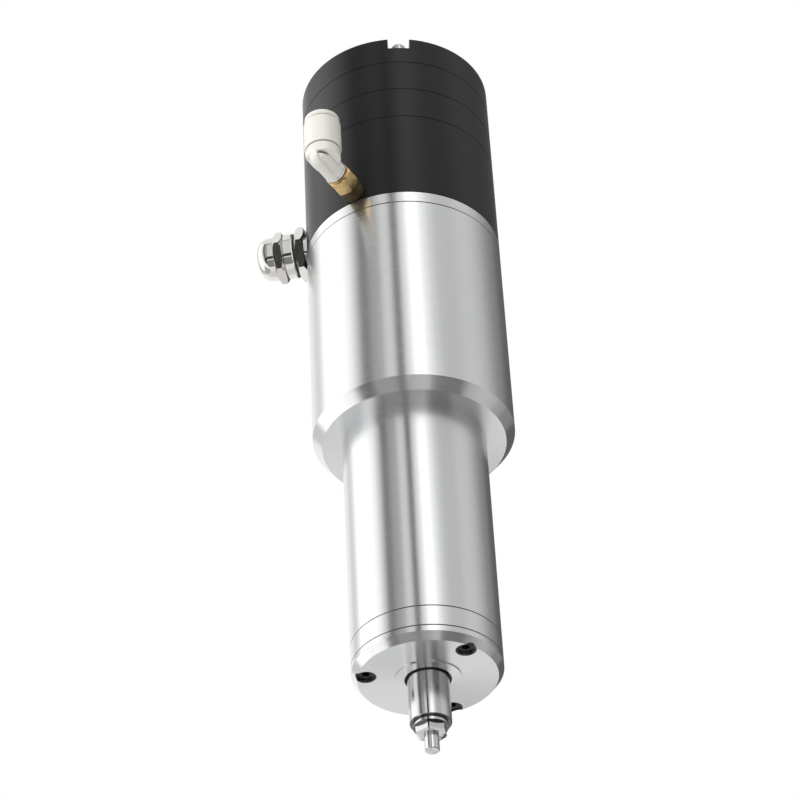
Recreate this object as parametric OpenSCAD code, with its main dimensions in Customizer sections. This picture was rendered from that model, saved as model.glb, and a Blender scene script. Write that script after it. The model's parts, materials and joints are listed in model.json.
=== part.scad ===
// Pneumatic tool-release motor spindle: a stepped aluminium housing with the
// tool end down, a black three-stage release cylinder on top, an air elbow and
// a cable gland on the side. Units are millimetres. +Z points to the rear, the
// origin is on the shaft axis in the plane of the barrel's front shoulder.

/* [Nose] */
// Diameter of the clamping nose
nose_d = 62; // [61:0.5:66]
// Length of the nose from its front face to the shoulder
nose_len = 117; // [113:1:140]
// Thickness of the front cap
cap_t = 5.8; // [5.6:0.1:8]
// Thickness of the bearing flange behind the cap
flange_t = 9.2; // [8.6:0.1:12]
// Radial width of the bevel on the front cap
cap_bevel_r = 2.4; // [1:0.1:3]
// Height of the bevel on the front cap
cap_bevel_z = 3.1; // [1:0.1:3.6]
// Width of the bevel on each edge along a seam
seam_bevel = 0.25; // [0.1:0.05:0.4]

/* [Barrel] */
// Diameter of the motor barrel and of the black stack above it
barrel_d = 87.2; // [80:0.2:96]
// Length of the barrel from the shoulder to the end plate
barrel_len = 102; // [90:1:130]
// Radial width of the bevel at the barrel's shoulder
shoulder_bevel_r = 4; // [2:0.5:6]
// Height of the bevel at the barrel's shoulder
shoulder_bevel_z = 5; // [2:0.5:8]
// Wall of the barrel round the stator
barrel_wall = 7.6; // [7:0.1:8.2]
// Thickness of the wall between the nose and the barrel's bore
barrel_floor_t = 10; // [8:0.5:12]
// Diameter of the tunnel for the shaft between bearings and motor
tunnel_d = 34; // [33:0.5:36]

/* [Front cap and seal] */
// Distance from the front cap screws' axes to the outside
cap_screw_edge = 5.8; // [5.4:0.1:6.2]
// Angle of the first front cap screw
cap_screw_angle = 188.5; // [180:0.5:200]
// Number of front cap screws
cap_screw_count = 3; // [3:1:4]
// Diameter of the counterbores in the front cap
cap_counterbore_d = 8.5; // [7.6:0.1:9]
// Depth of the counterbores in the front cap
cap_counterbore_depth = 4.2; // [3.4:0.1:4.4]
// Length of the front cap screws under the head
cap_screw_len = 23; // [20:0.5:26]
// Outer diameter of the air seal ring where it shows
seal_ring_d = 27.4; // [26:0.2:28]
// Bore of the air seal ring
seal_ring_bore_d = 19.2; // [18.2:0.1:20]
// How far the air seal ring stands out of the cap
seal_ring_proud = 0.5; // [0:0.1:1]
// Diameter of the flange at the back of the air seal ring
seal_flange_d = 31; // [30:0.5:33]
// Thickness of the flange at the back of the air seal ring
seal_flange_t = 2; // [1.4:0.1:2.2]

/* [Shaft] */
// Diameter of the shaft nose that shows below the cap
shaft_nose_d = 17.2; // [16.4:0.1:17.6]
// How far the shaft nose reaches below the cap
shaft_nose_len = 21.3; // [18:0.1:26]
// Bevel at the end of the shaft nose
shaft_bevel = 0.4; // [0.2:0.1:0.8]
// Shaft diameter in the front bearings
front_journal_d = 20; // [19.6:0.1:20.4]
// Shaft diameter in the rotor
rotor_seat_d = 19.2; // [18.6:0.1:19.4]
// Shaft diameter in the rear bearing
rear_journal_d = 17; // [16.6:0.1:17.4]
// Diameter of the collar that the front bearings rest against
shaft_collar_d = 26.6; // [26:0.1:27]
// Diameter of the slinger disc
slinger_d = 32; // [30:0.5:33]
// Thickness of the slinger disc
slinger_t = 2.2; // [1.6:0.1:2.4]
// Guide bore for the drawbar
guide_bore_d = 9.9; // [9.7:0.1:10.4]
// Bore for the disc springs
spring_bore_d = 12.8; // [12.7:0.05:13.2]
// Length of the rear shaft end past the rear bearing
shaft_tail_len = 8; // [7:0.5:9]

/* [Front bearings] */
// Outer diameter of a front bearing
front_bearing_d = 42; // [41.6:0.1:42.4]
// Width of a front bearing
front_bearing_w = 12; // [11.5:0.1:13]
// Ball diameter of the front bearings
front_ball_d = 6.3; // [6:0.1:6.5]
// Balls in each front bearing
front_ball_count = 13; // [10:1:13]
// Width of the spacers between the front bearings
front_spacer_w = 6; // [4:0.5:10]
// Length of the flange's spigot that holds the front bearings
spigot_len = 3; // [2:0.5:4]
// Diameter of the front lock nut
front_nut_d = 32; // [30:0.5:32.5]
// Width of the front lock nut
front_nut_w = 8; // [6:0.5:9]

/* [Rear bearing] */
// Outer diameter of the rear bearing
rear_bearing_d = 35; // [34.6:0.1:35.4]
// Width of the rear bearing
rear_bearing_w = 10; // [9:0.1:11]
// Ball diameter of the rear bearing
rear_ball_d = 4.7; // [4.4:0.1:4.8]
// Balls in the rear bearing
rear_ball_count = 10; // [8:1:12]
// Height of the conical preload spring
preload_h = 1.6; // [1.2:0.1:2]
// Diameter of the rear lock nut
rear_nut_d = 25; // [23:0.5:26]
// Width of the rear lock nut
rear_nut_w = 6; // [5:0.5:6.5]

/* [Motor] */
// Distance from the barrel's floor to the cores
core_gap = 11; // [10.5:0.5:13]
// Distance from the cores to the rear bearing's hub
core_hub_gap = 6; // [5:0.5:8]
// Bore of the stator core
stator_bore_d = 41; // [40:0.5:43]
// Air gap between the rotor and the stator
air_gap = 0.5; // [0.3:0.1:0.8]
// Number of stator slots
slot_count = 12; // [9:1:18]
// Width of a stator slot
slot_w = 5; // [3.5:0.5:6]
// Thickness of the stator core behind its slots
yoke_t = 3.5; // [3:0.1:5]
// Length of the windings past each end of the core
end_turn_len = 10; // [7:0.5:10]
// Length of a rotor end ring
end_ring_len = 4; // [3:0.5:5]

/* [Drawbar and collet] */
// Travel of the drawbar from clamped to released
drawbar_travel = 1.2; // [0.8:0.1:1.4]
// Width across flats of the collet's hexagon
collet_af = 11.5; // [11:0.5:13]
// Height of the collet's hexagon
collet_hex_h = 3.5; // [3:0.1:7]
// Diameter of the flange behind the hexagon
collet_flange_d = 14.4; // [13.4:0.1:15]
// Thickness of the flange behind the hexagon
collet_flange_t = 1.8; // [1.2:0.1:3]
// Mouth diameter of the taper in the shaft
taper_mouth_d = 11.2; // [10.8:0.1:11.6]
// Small diameter of the taper in the shaft
taper_small_d = 9.2; // [8.8:0.1:9.4]
// Length of the taper in the shaft
taper_len = 18.3; // [16:0.1:19]
// Width of a slit in the collet
slit_w = 0.6; // [0.4:0.1:1]
// Diameter of the collet's threaded shank
shank_d = 7; // [6.4:0.1:7.2]
// Length of the collet's threaded shank
shank_len = 12; // [9:0.5:14]
// Diameter of the drawbar's slim middle
drawbar_waist_d = 8.4; // [8:0.1:9]
// Diameter of the drawbar through the disc springs
drawbar_rod_d = 6; // [5.6:0.1:6.1]
// Length of each of the drawbar's two guides
drawbar_guide_len = 16; // [14:0.5:30]
// Height of the push head at the drawbar's rear end
push_head_h = 13; // [12:0.5:14]
// Outer diameter of a disc spring
disc_d = 12.5; // [12.2:0.1:12.6]
// Hole of a disc spring
disc_bore_d = 6.2; // [6.2:0.05:6.6]
// Thickness of a disc spring
disc_t = 0.7; // [0.5:0.05:0.8]
// Height of a disc spring
disc_h = 1.03; // [0.95:0.01:1.1]
// Number of disc springs
disc_count = 24; // [16:2:30]

/* [Tool pin] */
// Diameter of the gauge pin in the collet
pin_d = 6; // [5:0.1:6.2]
// Length of the gauge pin
pin_len = 28; // [20:0.5:28]
// How far the gauge pin stands out of the collet
pin_out = 7; // [3:0.5:12]

/* [Rear stack] */
// Thickness of the end plate's visible ring
end_ring_t = 5.8; // [5.4:0.1:9]
// Height of the black rear housing
rear_h = 46; // [44:0.5:56]
// Height of a stage ring
stage_h = 17; // [16.4:0.1:20]
// Height of the top cover
cover_h = 15; // [14.8:0.1:20]
// Wall round the piston chambers
chamber_wall = 9.6; // [9:0.1:10.6]
// Wall round the wiring space in the rear housing
wiring_wall = 10.6; // [9.8:0.1:11.6]
// Thickness of the web above each chamber
web_t = 8; // [7:0.1:8.4]
// Thickness of the top cover's roof
roof_t = 6.4; // [6.3:0.1:6.8]
// Distance from the tie screws' axes to the outside
tie_edge = 4.2; // [3.9:0.1:4.5]
// Angle of the first tie screw
tie_angle = 30; // [26:1:34]
// Number of tie screws
tie_count = 4; // [4:1:4]
// Thread length of the tie screws in the end plate
tie_thread_len = 4.8; // [4:0.1:5.2]
// Length of the end plate screws under the head
plate_screw_len = 11; // [9:0.5:14]
// Width of the notch in the top cover's rim
notch_w = 10; // [9.6:0.1:12]
// Depth of the notch in the top cover's rim
notch_depth = 6; // [5:0.1:6.2]
// Radial length of the notch
notch_len = 8.6; // [8.4:0.1:9]
// Angle of the notch
notch_angle = 274.7; // [270:0.1:280]
// Head diameter of the earth screw in the notch
earth_head_d = 6.4; // [6:0.1:7.4]
// Head height of the earth screw in the notch
earth_head_h = 3.6; // [2.4:0.1:3.8]
// Diameter of the washer under the earth screw
earth_washer_d = 8.2; // [7.6:0.1:8.4]
// Thickness of the washer under the earth screw
earth_washer_t = 1.2; // [0.8:0.1:1.4]

/* [Release cylinder] */
// Travel of the pistons
piston_travel = 1.5; // [1.3:0.1:1.8]
// Thickness of a piston
piston_t = 5.4; // [5:0.1:5.5]
// Space under each piston at rest
piston_rise = 2; // [1.9:0.05:2.1]
// Diameter of the push rod
rod_d = 16; // [15:0.1:17]
// Diameter of the push rod through the pistons
rod_core_d = 10; // [9:0.1:11]
// Diameter of the push rod's tip
rod_tip_d = 12; // [10:0.1:12.4]
// Height of the push rod's tip
rod_tip_h = 4; // [3:0.1:6]
// Diameter of the spring collar on the push rod
rod_collar_d = 36; // [35.5:0.5:40]
// Thickness of the spring collar on the push rod
rod_collar_t = 4; // [3:0.5:6]
// Height of the return spring at rest
return_spring_h = 24; // [18:0.5:28]
// Mean diameter of the return spring
return_spring_d = 32; // [31:0.5:32.5]
// Wire diameter of the return spring
return_wire_d = 2.6; // [1.6:0.1:2.8]
// Turns of the return spring
return_turns = 6; // [4:1:7]
// Width across flats of the piston nut
piston_nut_af = 17; // [16:0.5:19]
// Height of the piston nut
piston_nut_h = 2.6; // [2:0.1:3]

/* [Air elbow] */
// Angle of the air elbow round the spindle
elbow_angle = 242.2; // [238:0.2:252]
// Height of the air elbow above the end plate
elbow_rise = 5.5; // [5.3:0.1:9]
// Length of the stud's thread between the wall and its hexagon
stud_neck_len = 6.1; // [4:0.1:8]
// Width across flats of the brass stud
stud_af = 10.6; // [10.2:0.1:12]
// Length of the stud's hexagon
stud_hex_len = 7.7; // [6:0.1:10]
// Diameter of the stud's ring past the hexagon
stud_ring_d = 10; // [9:0.1:10.2]
// Length of the stud's ring past the hexagon
stud_ring_len = 1.1; // [0.6:0.1:2]
// Gap between the stud and the elbow
elbow_gap = 0.4; // [0.2:0.1:0.6]
// Length of the elbow's arm up to the axis of its upright tube
elbow_arm_len = 10.6; // [9.6:0.1:14]
// Thread diameter of the stud
stud_thread_d = 9.6; // [9:0.1:9.8]
// Thread length of the stud in the wall
stud_thread_len = 4.6; // [3.6:0.1:5]
// Depth of the stud's hole in the wall
stud_hole_depth = 7; // [6.6:0.1:8.5]
// Diameter of the stud's spigot in the elbow
stud_spigot_d = 7.2; // [6.4:0.1:7.6]
// Air passage through the stud and the elbow
air_bore_d = 4.6; // [3:0.1:5]
// Diameter of the elbow's round arm
elbow_arm_d = 10.5; // [9.6:0.1:11.4]
// Width of the spine under the elbow's arm
elbow_spine_w = 2.2; // [1.6:0.1:3]
// Height of the spine under the elbow's arm
elbow_spine_h = 0.45; // [0.3:0.05:0.8]
// Rounding under the elbow's outer end
elbow_end_round = 4.2; // [3:0.1:4.6]
// Diameter of the elbow's collar
elbow_collar_d = 16.4; // [15.6:0.1:18]
// Height of the collar's top above the arm's axis
elbow_collar_top = 19.9; // [18.8:0.1:24]
// Height of the collar
elbow_collar_h = 15.4; // [12:0.1:16]
// Diameter of the elbow below its collar
elbow_root_d = 15.4; // [14:0.1:15.4]
// Height of the part below the collar
elbow_root_h = 5.3; // [4:0.1:6]
// Height and depth of the groove under the collar
elbow_groove = 0.4; // [0.2:0.1:0.8]
// Tube diameter that the elbow takes
tube_d = 8; // [7:0.1:8.2]
// Travel of the release sleeve
sleeve_travel = 0.8; // [0.4:0.1:1.1]
// Height of the release sleeve's rim
sleeve_rim_h = 2.4; // [1.6:0.1:3]
// Diameter of the release sleeve's rim
sleeve_rim_d = 15.4; // [13:0.1:15.6]

/* [Cable gland] */
// Angle of the cable gland round the spindle
gland_angle = 170.4; // [168:0.2:176]
// Height of the cable gland above the end plate
gland_rise = 11.2; // [10.7:0.1:16]
// Thread diameter of the cable gland
gland_thread_d = 16; // [15:0.1:16.4]
// Gap between the wall and the lock nut
gland_nut_gap = 0.4; // [0.2:0.1:1]
// Thickness of the lock nut
gland_nut_t = 4.3; // [3:0.1:5]
// Width across flats of the lock nut
gland_nut_af = 22; // [21:0.1:24]
// Thickness of the black sealing ring
gland_ring_t = 1.3; // [1:0.1:2]
// Diameter of the gland body's collar
gland_collar_d = 20.8; // [19.4:0.1:22]
// Thickness of the gland body's collar
gland_collar_t = 4.5; // [4:0.1:6]
// Width across flats of the dome nut
dome_af = 20.8; // [19.6:0.1:22]
// Length of the dome nut's hexagon
dome_hex_len = 4.2; // [4:0.1:6]
// Length of the dome beyond the hexagon
dome_len = 8.4; // [7.6:0.1:9.4]
// Rounding of the dome's end
dome_round = 6; // [5:0.1:6.4]
// Gap between the gland body and the dome nut
dome_gap = 0.3; // [0.2:0.1:1]
// Hole in the dome nut
dome_hole_d = 10.4; // [9:0.1:11]
// Cable diameter that the gland takes
cable_d = 7; // [5:0.1:8]

/* [Fits] */
// Radial clearance of parts that are pressed or screwed together
fit = 0.03; // [0.01:0.005:0.05]
// Radial clearance of parts that slide or turn on each other
run = 0.05; // [0.02:0.01:0.08]
// Clearance between a turning part and what is around it
free_gap = 0.5; // [0.3:0.1:0.6]

/* [Hidden] */

$fn = 96;
cut = 0.5;
// The bevel of a hexagon's end: how far inside the flats it starts, how far past
// the corners it runs, and its slope.
bevel_under = 0.15;
bevel_over = 0.2;
bevel_slope = 0.6;

// Standard fasteners: metric 4 cap screws for the cap and the stack, metric 3
// for the end plate.
m4_r = 2;
m4_head_r = 3.5;
m4_head_h = 4;
m4_low_head_h = 2.8;
m4_socket_r = 1.73;
m4_clear_r = 2.2;
m3_r = 1.5;
m3_head_r = 2.75;
m3_head_h = 3;
m3_socket_r = 1.44;
m3_clear_r = 1.7;
socket_depth = 1.8;
head_room = 0.25;
hole_bottom = 1.5;

// Radii of the turned outside.
nose_r = nose_d / 2;
barrel_r = barrel_d / 2;
barrel_bore_r = barrel_r - barrel_wall;
tunnel_r = tunnel_d / 2;
seal_ring_r = seal_ring_d / 2;
seal_bore_r = seal_ring_bore_d / 2;
seal_flange_r = seal_flange_d / 2;
shaft_nose_r = shaft_nose_d / 2;
cap_screw_circle_r = nose_r - cap_screw_edge;
tie_circle_r = barrel_r - tie_edge;

// Heights along the nose.
z_face = -nose_len;
z_cap_back = z_face + cap_t;
z_housing = z_cap_back + flange_t;
z_cap_seat = z_face + cap_counterbore_depth;

// Front bearings and what holds them.
front_bearing_r = front_bearing_d / 2;
front_journal_r = front_journal_d / 2;
front_pitch_r = (front_bearing_r + front_journal_r) / 2;
front_ball_r = front_ball_d / 2;
race_gap = 2.1;
cage_t = 2.4;
cage_inset = 1.5;
z_bearing_1 = z_housing + spigot_len;
z_spacer = z_bearing_1 + front_bearing_w;
z_bearing_2 = z_spacer + front_spacer_w;
z_bearing_stop = z_bearing_2 + front_bearing_w;
z_front_nut_end = z_bearing_stop + front_nut_w;
shaft_collar_r = shaft_collar_d / 2;
z_slinger = z_cap_back + free_gap;
z_slinger_end = z_slinger + slinger_t;
z_flange_lip = z_slinger_end + free_gap;

// Rear bearing in the end plate.
spigot_depth = 6;
z_plate_top = barrel_len + end_ring_t;
rear_bearing_r = rear_bearing_d / 2;
rear_journal_r = rear_journal_d / 2;
rear_pitch_r = (rear_bearing_r + rear_journal_r) / 2;
rear_ball_r = rear_ball_d / 2;
z_rear_bearing_end = barrel_len - 3;
z_rear_bearing = z_rear_bearing_end - rear_bearing_w;
z_preload_end = z_rear_bearing_end + preload_h;
hub_r = rear_bearing_r + 4;
z_hub = z_rear_bearing - 2;
rear_nut_r = rear_nut_d / 2;
lip_r = rear_nut_r + 1.5;
z_shaft_end = z_rear_bearing_end + shaft_tail_len;
register_h = 2.4;
register_r = barrel_r - wiring_wall - fit;
register_wall = 4;

// Motor.
z_core = barrel_floor_t + core_gap;
z_core_end = z_hub - core_hub_gap;
core_len = z_core_end - z_core;
stator_r = barrel_bore_r - fit;
stator_bore_r = stator_bore_d / 2;
rotor_r = stator_bore_r - air_gap;
rotor_seat_r = rotor_seat_d / 2;
slot_tooth_t = 2;
slot_start_r = stator_bore_r + slot_tooth_t;
slot_end_r = stator_r - yoke_t;
slot_depth = slot_end_r - slot_start_r;
winding_clear = 0.3;

// Shaft bore, disc springs and drawbar.
z_shaft_tip = z_face - shaft_nose_len;
z_taper_end = z_shaft_tip + taper_len;
guide_r = guide_bore_d / 2;
spring_bore_r = spring_bore_d / 2;
disc_pitch = disc_h + 0.02;
push_head_proud = 2;
z_push_head_top = z_shaft_end + push_head_proud;
z_push_head = z_push_head_top - push_head_h;
z_disc = z_push_head - disc_count * disc_pitch;
z_drawbar = z_taper_end + drawbar_travel + 0.3;
z_drawbar_end = z_push_head_top - 2;
drawbar_r = guide_r - run;
z_collet_flange = z_shaft_tip - collet_flange_t;
z_collet_face = z_collet_flange - collet_hex_h;
collet_corner_r = collet_af / sqrt(3);
collet_turn = 22;
slit_land = 3;
collet_bevel_r = 2;
collet_bevel_z = 0.7;
z_collet_shank = z_taper_end - 1;
z_pin_tip = z_collet_face - pin_out;

// Rear stack.
z_rear_end = z_plate_top + rear_h;
z_wiring_top = z_rear_end - web_t;
z_stage_2 = z_rear_end + stage_h;
z_cover = z_stage_2 + stage_h;
z_top = z_cover + cover_h;
z_roof = z_top - roof_t;
chamber_r = barrel_r - chamber_wall;
wiring_r = barrel_r - wiring_wall;
z_tie_seat = z_top - m4_head_h - 0.4;
channel_r = 2;
port_r = 0.7;
port_rise = 0.4;
z_elbow = z_plate_top + elbow_rise;
z_gland = z_plate_top + gland_rise;

// Release cylinder.
rod_r = rod_d / 2;
rod_core_r = rod_core_d / 2;
rod_bore_r = rod_r + run;
piston_r = chamber_r - run;
z_pistons = [z_rear_end + piston_rise, z_stage_2 + piston_rise, z_cover + piston_rise];
z_webs = [z_wiring_top, z_stage_2 - web_t, z_cover - web_t];
push_gap = piston_travel - drawbar_travel;
z_rod_tip = z_push_head_top + push_gap;
z_rod_collar = z_plate_top + return_spring_h;
z_piston_top = z_pistons[2] + piston_t;
seal_cord_r = 0.95;
seal_groove_h = 2.1;
stack_seal_r = 0.73;
stack_groove_w = 1.5;
stack_groove_r = chamber_r + 1.35;
rod_seal_r = rod_bore_r + seal_cord_r + run;
piston_seal_r = piston_r - seal_cord_r - run;

// Air elbow. The numbers along the arm are distances from the spindle axis,
// those along the upright tube are heights above the arm's axis.
stud_thread_r = stud_thread_d / 2;
stud_hole_r = stud_thread_r + fit;
stud_hole_start = barrel_r - stud_hole_depth;
stud_thread_start = barrel_r - stud_thread_len;
stud_hex_start = barrel_r + stud_neck_len;
stud_hex_end = stud_hex_start + stud_hex_len;
stud_hex_turn = 31;
stud_ring_end = stud_hex_end + stud_ring_len;
stud_spigot_len = 5.4;
stud_spigot_r = stud_spigot_d / 2;
elbow_arm_start = stud_ring_end + elbow_gap;
elbow_reach = elbow_arm_start + elbow_arm_len;
elbow_arm_r = elbow_arm_d / 2;
elbow_collar_r = elbow_collar_d / 2;
elbow_root_r = elbow_root_d / 2;
elbow_root_top = elbow_collar_top - elbow_collar_h;
elbow_root_bottom = elbow_root_top - elbow_root_h;
elbow_bottom = -elbow_arm_r - elbow_spine_h;
elbow_bevel = 0.5;
elbow_step = 0.2;
tube_bore_r = tube_d / 2 + run;
sleeve_r = tube_bore_r + 1.15;
sleeve_gap = sleeve_travel + 0.1;
sleeve_top = elbow_collar_top + sleeve_gap + sleeve_rim_h;
cartridge_r = sleeve_r + 0.8;
cartridge_floor = 7.4;
tube_stop_h = 1.4;
tube_seal_h = 2.6;
grip_h = 1.2;
sleeve_foot = cartridge_floor + tube_seal_h + grip_h + sleeve_gap + 0.2;

// Cable gland, in distances from the spindle axis.
gland_thread_r = gland_thread_d / 2;
gland_tail = wiring_r - 1;
gland_nut_start = barrel_r + gland_nut_gap;
gland_ring_start = gland_nut_start + gland_nut_t;
gland_collar_start = gland_ring_start + gland_ring_t;
gland_collar_end = gland_collar_start + gland_collar_t;
gland_collar_r = gland_collar_d / 2;
gland_bevel = 0.4;
gland_neck_r = gland_thread_r + 0.4;
gland_seal_r = gland_neck_r - 1.9;
gland_seal_start = gland_collar_start + 2;
gland_clamp_start = gland_collar_end + 3;
dome_start = gland_collar_end + dome_gap;
dome_hex_end = dome_start + dome_hex_len;
dome_end = dome_hex_end + dome_len;
dome_step = 0.4;
dome_r = dome_af / 2 - dome_step;
dome_lip_t = 2;
dome_cone_h = 2.5;
dome_cone_end = dome_end - dome_lip_t;
dome_cone_start = dome_cone_end - dome_cone_h;
dome_cone_r = gland_seal_r + 0.75;
clamp_clear = 0.15;
gland_clamp_end = dome_cone_end - 2 * clamp_clear;
gland_cable_r = cable_d / 2;
gland_passage_r = gland_cable_r + 0.8;
dome_hex_turn = 27.6;
gland_nut_turn = 23.8;

module at(angle, radius) {
    rotate([0, 0, angle]) translate([radius, 0, 0]) children();
}

module around(count, first, radius) {
    for (i = [0 : count - 1]) at(first + i * 360 / count, radius) children();
}

// Turns the local +Z axis to point out of the side of the spindle.
module sideways(angle, height) {
    rotate([0, 0, angle]) translate([0, 0, height]) rotate([0, 90, 0]) children();
}

module rod(z0, z1, r) {
    translate([0, 0, z0]) cylinder(h = z1 - z0, r = r);
}

module tube(z0, z1, r, bore) {
    difference() {
        rod(z0, z1, r);
        rod(z0 - cut, z1 + cut, bore);
    }
}

module turned(points) {
    rotate_extrude() polygon(points);
}

module torus(z, mean_r, cord_r) {
    rotate_extrude() translate([mean_r, z]) circle(r = cord_r, $fn = 48);
}

// A hexagonal prism whose corners are bevelled at one or both ends.
module hex_prism(z0, z1, across_flats, bevel_low, bevel_high) {
    corner_r = across_flats / sqrt(3);
    flat_r = across_flats / 2 - bevel_under;
    clear_r = corner_r + bevel_over;
    rise = (clear_r - flat_r) * bevel_slope;
    intersection() {
        translate([0, 0, z0]) cylinder(h = z1 - z0, r = corner_r, $fn = 6);
        turned([
            [0, z0],
            [bevel_low ? flat_r : clear_r, z0],
            [clear_r, z0 + (bevel_low ? rise : 0)],
            [clear_r, z1 - (bevel_high ? rise : 0)],
            [bevel_high ? flat_r : clear_r, z1],
            [0, z1],
        ]);
    }
}

// A cap screw along +Z with its head at the top: z is the seat of the head.
module cap_screw(z, shank_r, len, head_r, head_h, socket_r) {
    difference() {
        union() {
            rod(z - len, z, shank_r);
            rod(z, z + head_h, head_r);
        }
        translate([0, 0, z + head_h - socket_depth])
            cylinder(h = socket_depth + cut, r = socket_r, $fn = 6);
    }
}

module ball_ring(z, pitch_r, ball_r, count) {
    translate([0, 0, z]) around(count, 0, pitch_r) sphere(r = ball_r);
}

// One ring of a ball bearing with its groove for the balls.
module race(z, width, r_out, r_in, pitch_r, ball_r) {
    rotate_extrude() difference() {
        translate([r_in, z]) square([r_out - r_in, width]);
        translate([pitch_r, z + width / 2]) circle(r = ball_r + run, $fn = 96);
    }
}

module cage(z, width, pitch_r, ball_r, count) {
    reach = cage_t / 2 + 0.2;
    difference() {
        tube(z + cage_inset, z + width - cage_inset, pitch_r + cage_t / 2, pitch_r - cage_t / 2);
        translate([0, 0, z + width / 2]) around(count, 0, pitch_r - reach)
            rotate([0, 90, 0]) cylinder(h = 2 * reach, r = ball_r + run);
    }
}

// The air channel through the stack's wall, which feeds every chamber.
module air_channel() {
    at(elbow_angle, tie_circle_r) rod(z_elbow, z_piston_top + port_rise, channel_r);
    for (z = z_pistons)
        sideways(elbow_angle, z + piston_t + port_rise)
            rod(chamber_r - cut, tie_circle_r, port_r);
}

module tie_holes(z0, z1) {
    around(tie_count, tie_angle, tie_circle_r) rod(z0, z1, m4_clear_r);
}

module stack_groove(z) {
    translate([0, 0, z - stack_groove_w]) difference() {
        cylinder(h = stack_groove_w + cut, r = stack_groove_r + stack_groove_w / 2);
        translate([0, 0, -cut])
            cylinder(h = stack_groove_w + 3 * cut, r = stack_groove_r - stack_groove_w / 2);
    }
}

module rod_seal_groove(z_web) {
    z = z_web + web_t / 2 - seal_groove_h / 2;
    rod(z, z + seal_groove_h, rod_seal_r + seal_cord_r + run);
}

module housing() {
    color("silver") difference() {
        turned([
            [nose_r - seam_bevel, z_housing],
            [nose_r, z_housing + seam_bevel],
            [nose_r, 0],
            [barrel_r - shoulder_bevel_r, 0],
            [barrel_r, shoulder_bevel_z],
            [barrel_r, barrel_len - seam_bevel],
            [barrel_r - seam_bevel, barrel_len],
            [barrel_bore_r, barrel_len],
            [barrel_bore_r, barrel_floor_t],
            [tunnel_r, barrel_floor_t],
            [tunnel_r, z_bearing_stop],
            [front_bearing_r + fit, z_bearing_stop],
            [front_bearing_r + fit, z_housing],
        ]);
        around(cap_screw_count, cap_screw_angle, cap_screw_circle_r)
            rod(z_housing - cut, z_cap_seat + cap_screw_len + hole_bottom, m4_r + fit);
        around(tie_count, tie_angle + 45, tie_circle_r)
            rod(barrel_len - plate_screw_len, barrel_len + cut, m3_r + fit);
    }
}

module bearing_flange() {
    color("silver") difference() {
        turned([
            [slinger_d / 2 + free_gap, z_cap_back],
            [nose_r - seam_bevel, z_cap_back],
            [nose_r, z_cap_back + seam_bevel],
            [nose_r, z_housing - seam_bevel],
            [nose_r - seam_bevel, z_housing],
            [front_bearing_r, z_housing],
            [front_bearing_r, z_bearing_1],
            [front_pitch_r + race_gap + 0.4, z_bearing_1],
            [front_pitch_r + race_gap + 0.4, z_housing],
            [shaft_collar_r + free_gap, z_housing],
            [shaft_collar_r + free_gap, z_flange_lip],
            [slinger_d / 2 + free_gap, z_flange_lip],
        ]);
        around(cap_screw_count, cap_screw_angle, cap_screw_circle_r)
            rod(z_cap_back - cut, z_housing + cut, m4_clear_r);
    }
}

module front_cap() {
    color("gainsboro") difference() {
        turned([
            [seal_ring_r + fit, z_face],
            [nose_r - cap_bevel_r, z_face],
            [nose_r, z_face + cap_bevel_z],
            [nose_r, z_cap_back - seam_bevel],
            [nose_r - seam_bevel, z_cap_back],
            [seal_flange_r + fit, z_cap_back],
            [seal_flange_r + fit, z_cap_back - seal_flange_t],
            [seal_ring_r + fit, z_cap_back - seal_flange_t],
        ]);
        around(cap_screw_count, cap_screw_angle, cap_screw_circle_r) {
            rod(z_face - cut, z_cap_back + cut, m4_clear_r);
            rod(z_face - cut, z_cap_seat, cap_counterbore_d / 2);
        }
    }
}

module front_cap_screws() {
    color("dimgray") around(cap_screw_count, cap_screw_angle, cap_screw_circle_r)
        mirror([0, 0, 1])
            cap_screw(-z_cap_seat, m4_r, cap_screw_len, m4_head_r, m4_low_head_h, m4_socket_r);
}

module air_seal_ring() {
    color("gainsboro") turned([
        [seal_bore_r, z_face - seal_ring_proud],
        [seal_ring_r, z_face - seal_ring_proud],
        [seal_ring_r, z_cap_back - seal_flange_t],
        [seal_flange_r, z_cap_back - seal_flange_t],
        [seal_flange_r, z_cap_back],
        [seal_bore_r, z_cap_back],
    ]);
}

module front_bearing_outer_rings() {
    color("lightgray") for (z = [z_bearing_1, z_bearing_2])
        race(z, front_bearing_w, front_bearing_r, front_pitch_r + race_gap, front_pitch_r,
            front_ball_r);
}

module outer_spacer() {
    color("gray") tube(z_spacer, z_bearing_2, front_bearing_r, front_pitch_r + race_gap + 0.4);
}

module stator_core() {
    color("slategray") difference() {
        tube(z_core, z_core_end, stator_r, stator_bore_r);
        for (i = [0 : slot_count - 1])
            rotate([0, 0, i * 360 / slot_count])
                translate([slot_start_r, -slot_w / 2, z_core - cut])
                    cube([slot_depth, slot_w, core_len + 2 * cut]);
    }
}

module stator_windings() {
    w = slot_w - 2 * winding_clear;
    color("peru") union() {
        for (z = [z_core - end_turn_len, z_core_end])
            tube(z, z + end_turn_len, slot_end_r - winding_clear, slot_start_r + winding_clear);
        for (i = [0 : slot_count - 1])
            rotate([0, 0, i * 360 / slot_count])
                translate([slot_start_r + 2 * winding_clear, -w / 2, z_core - 1])
                    cube([slot_depth - 4 * winding_clear, w, core_len + 2]);
    }
}

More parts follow.
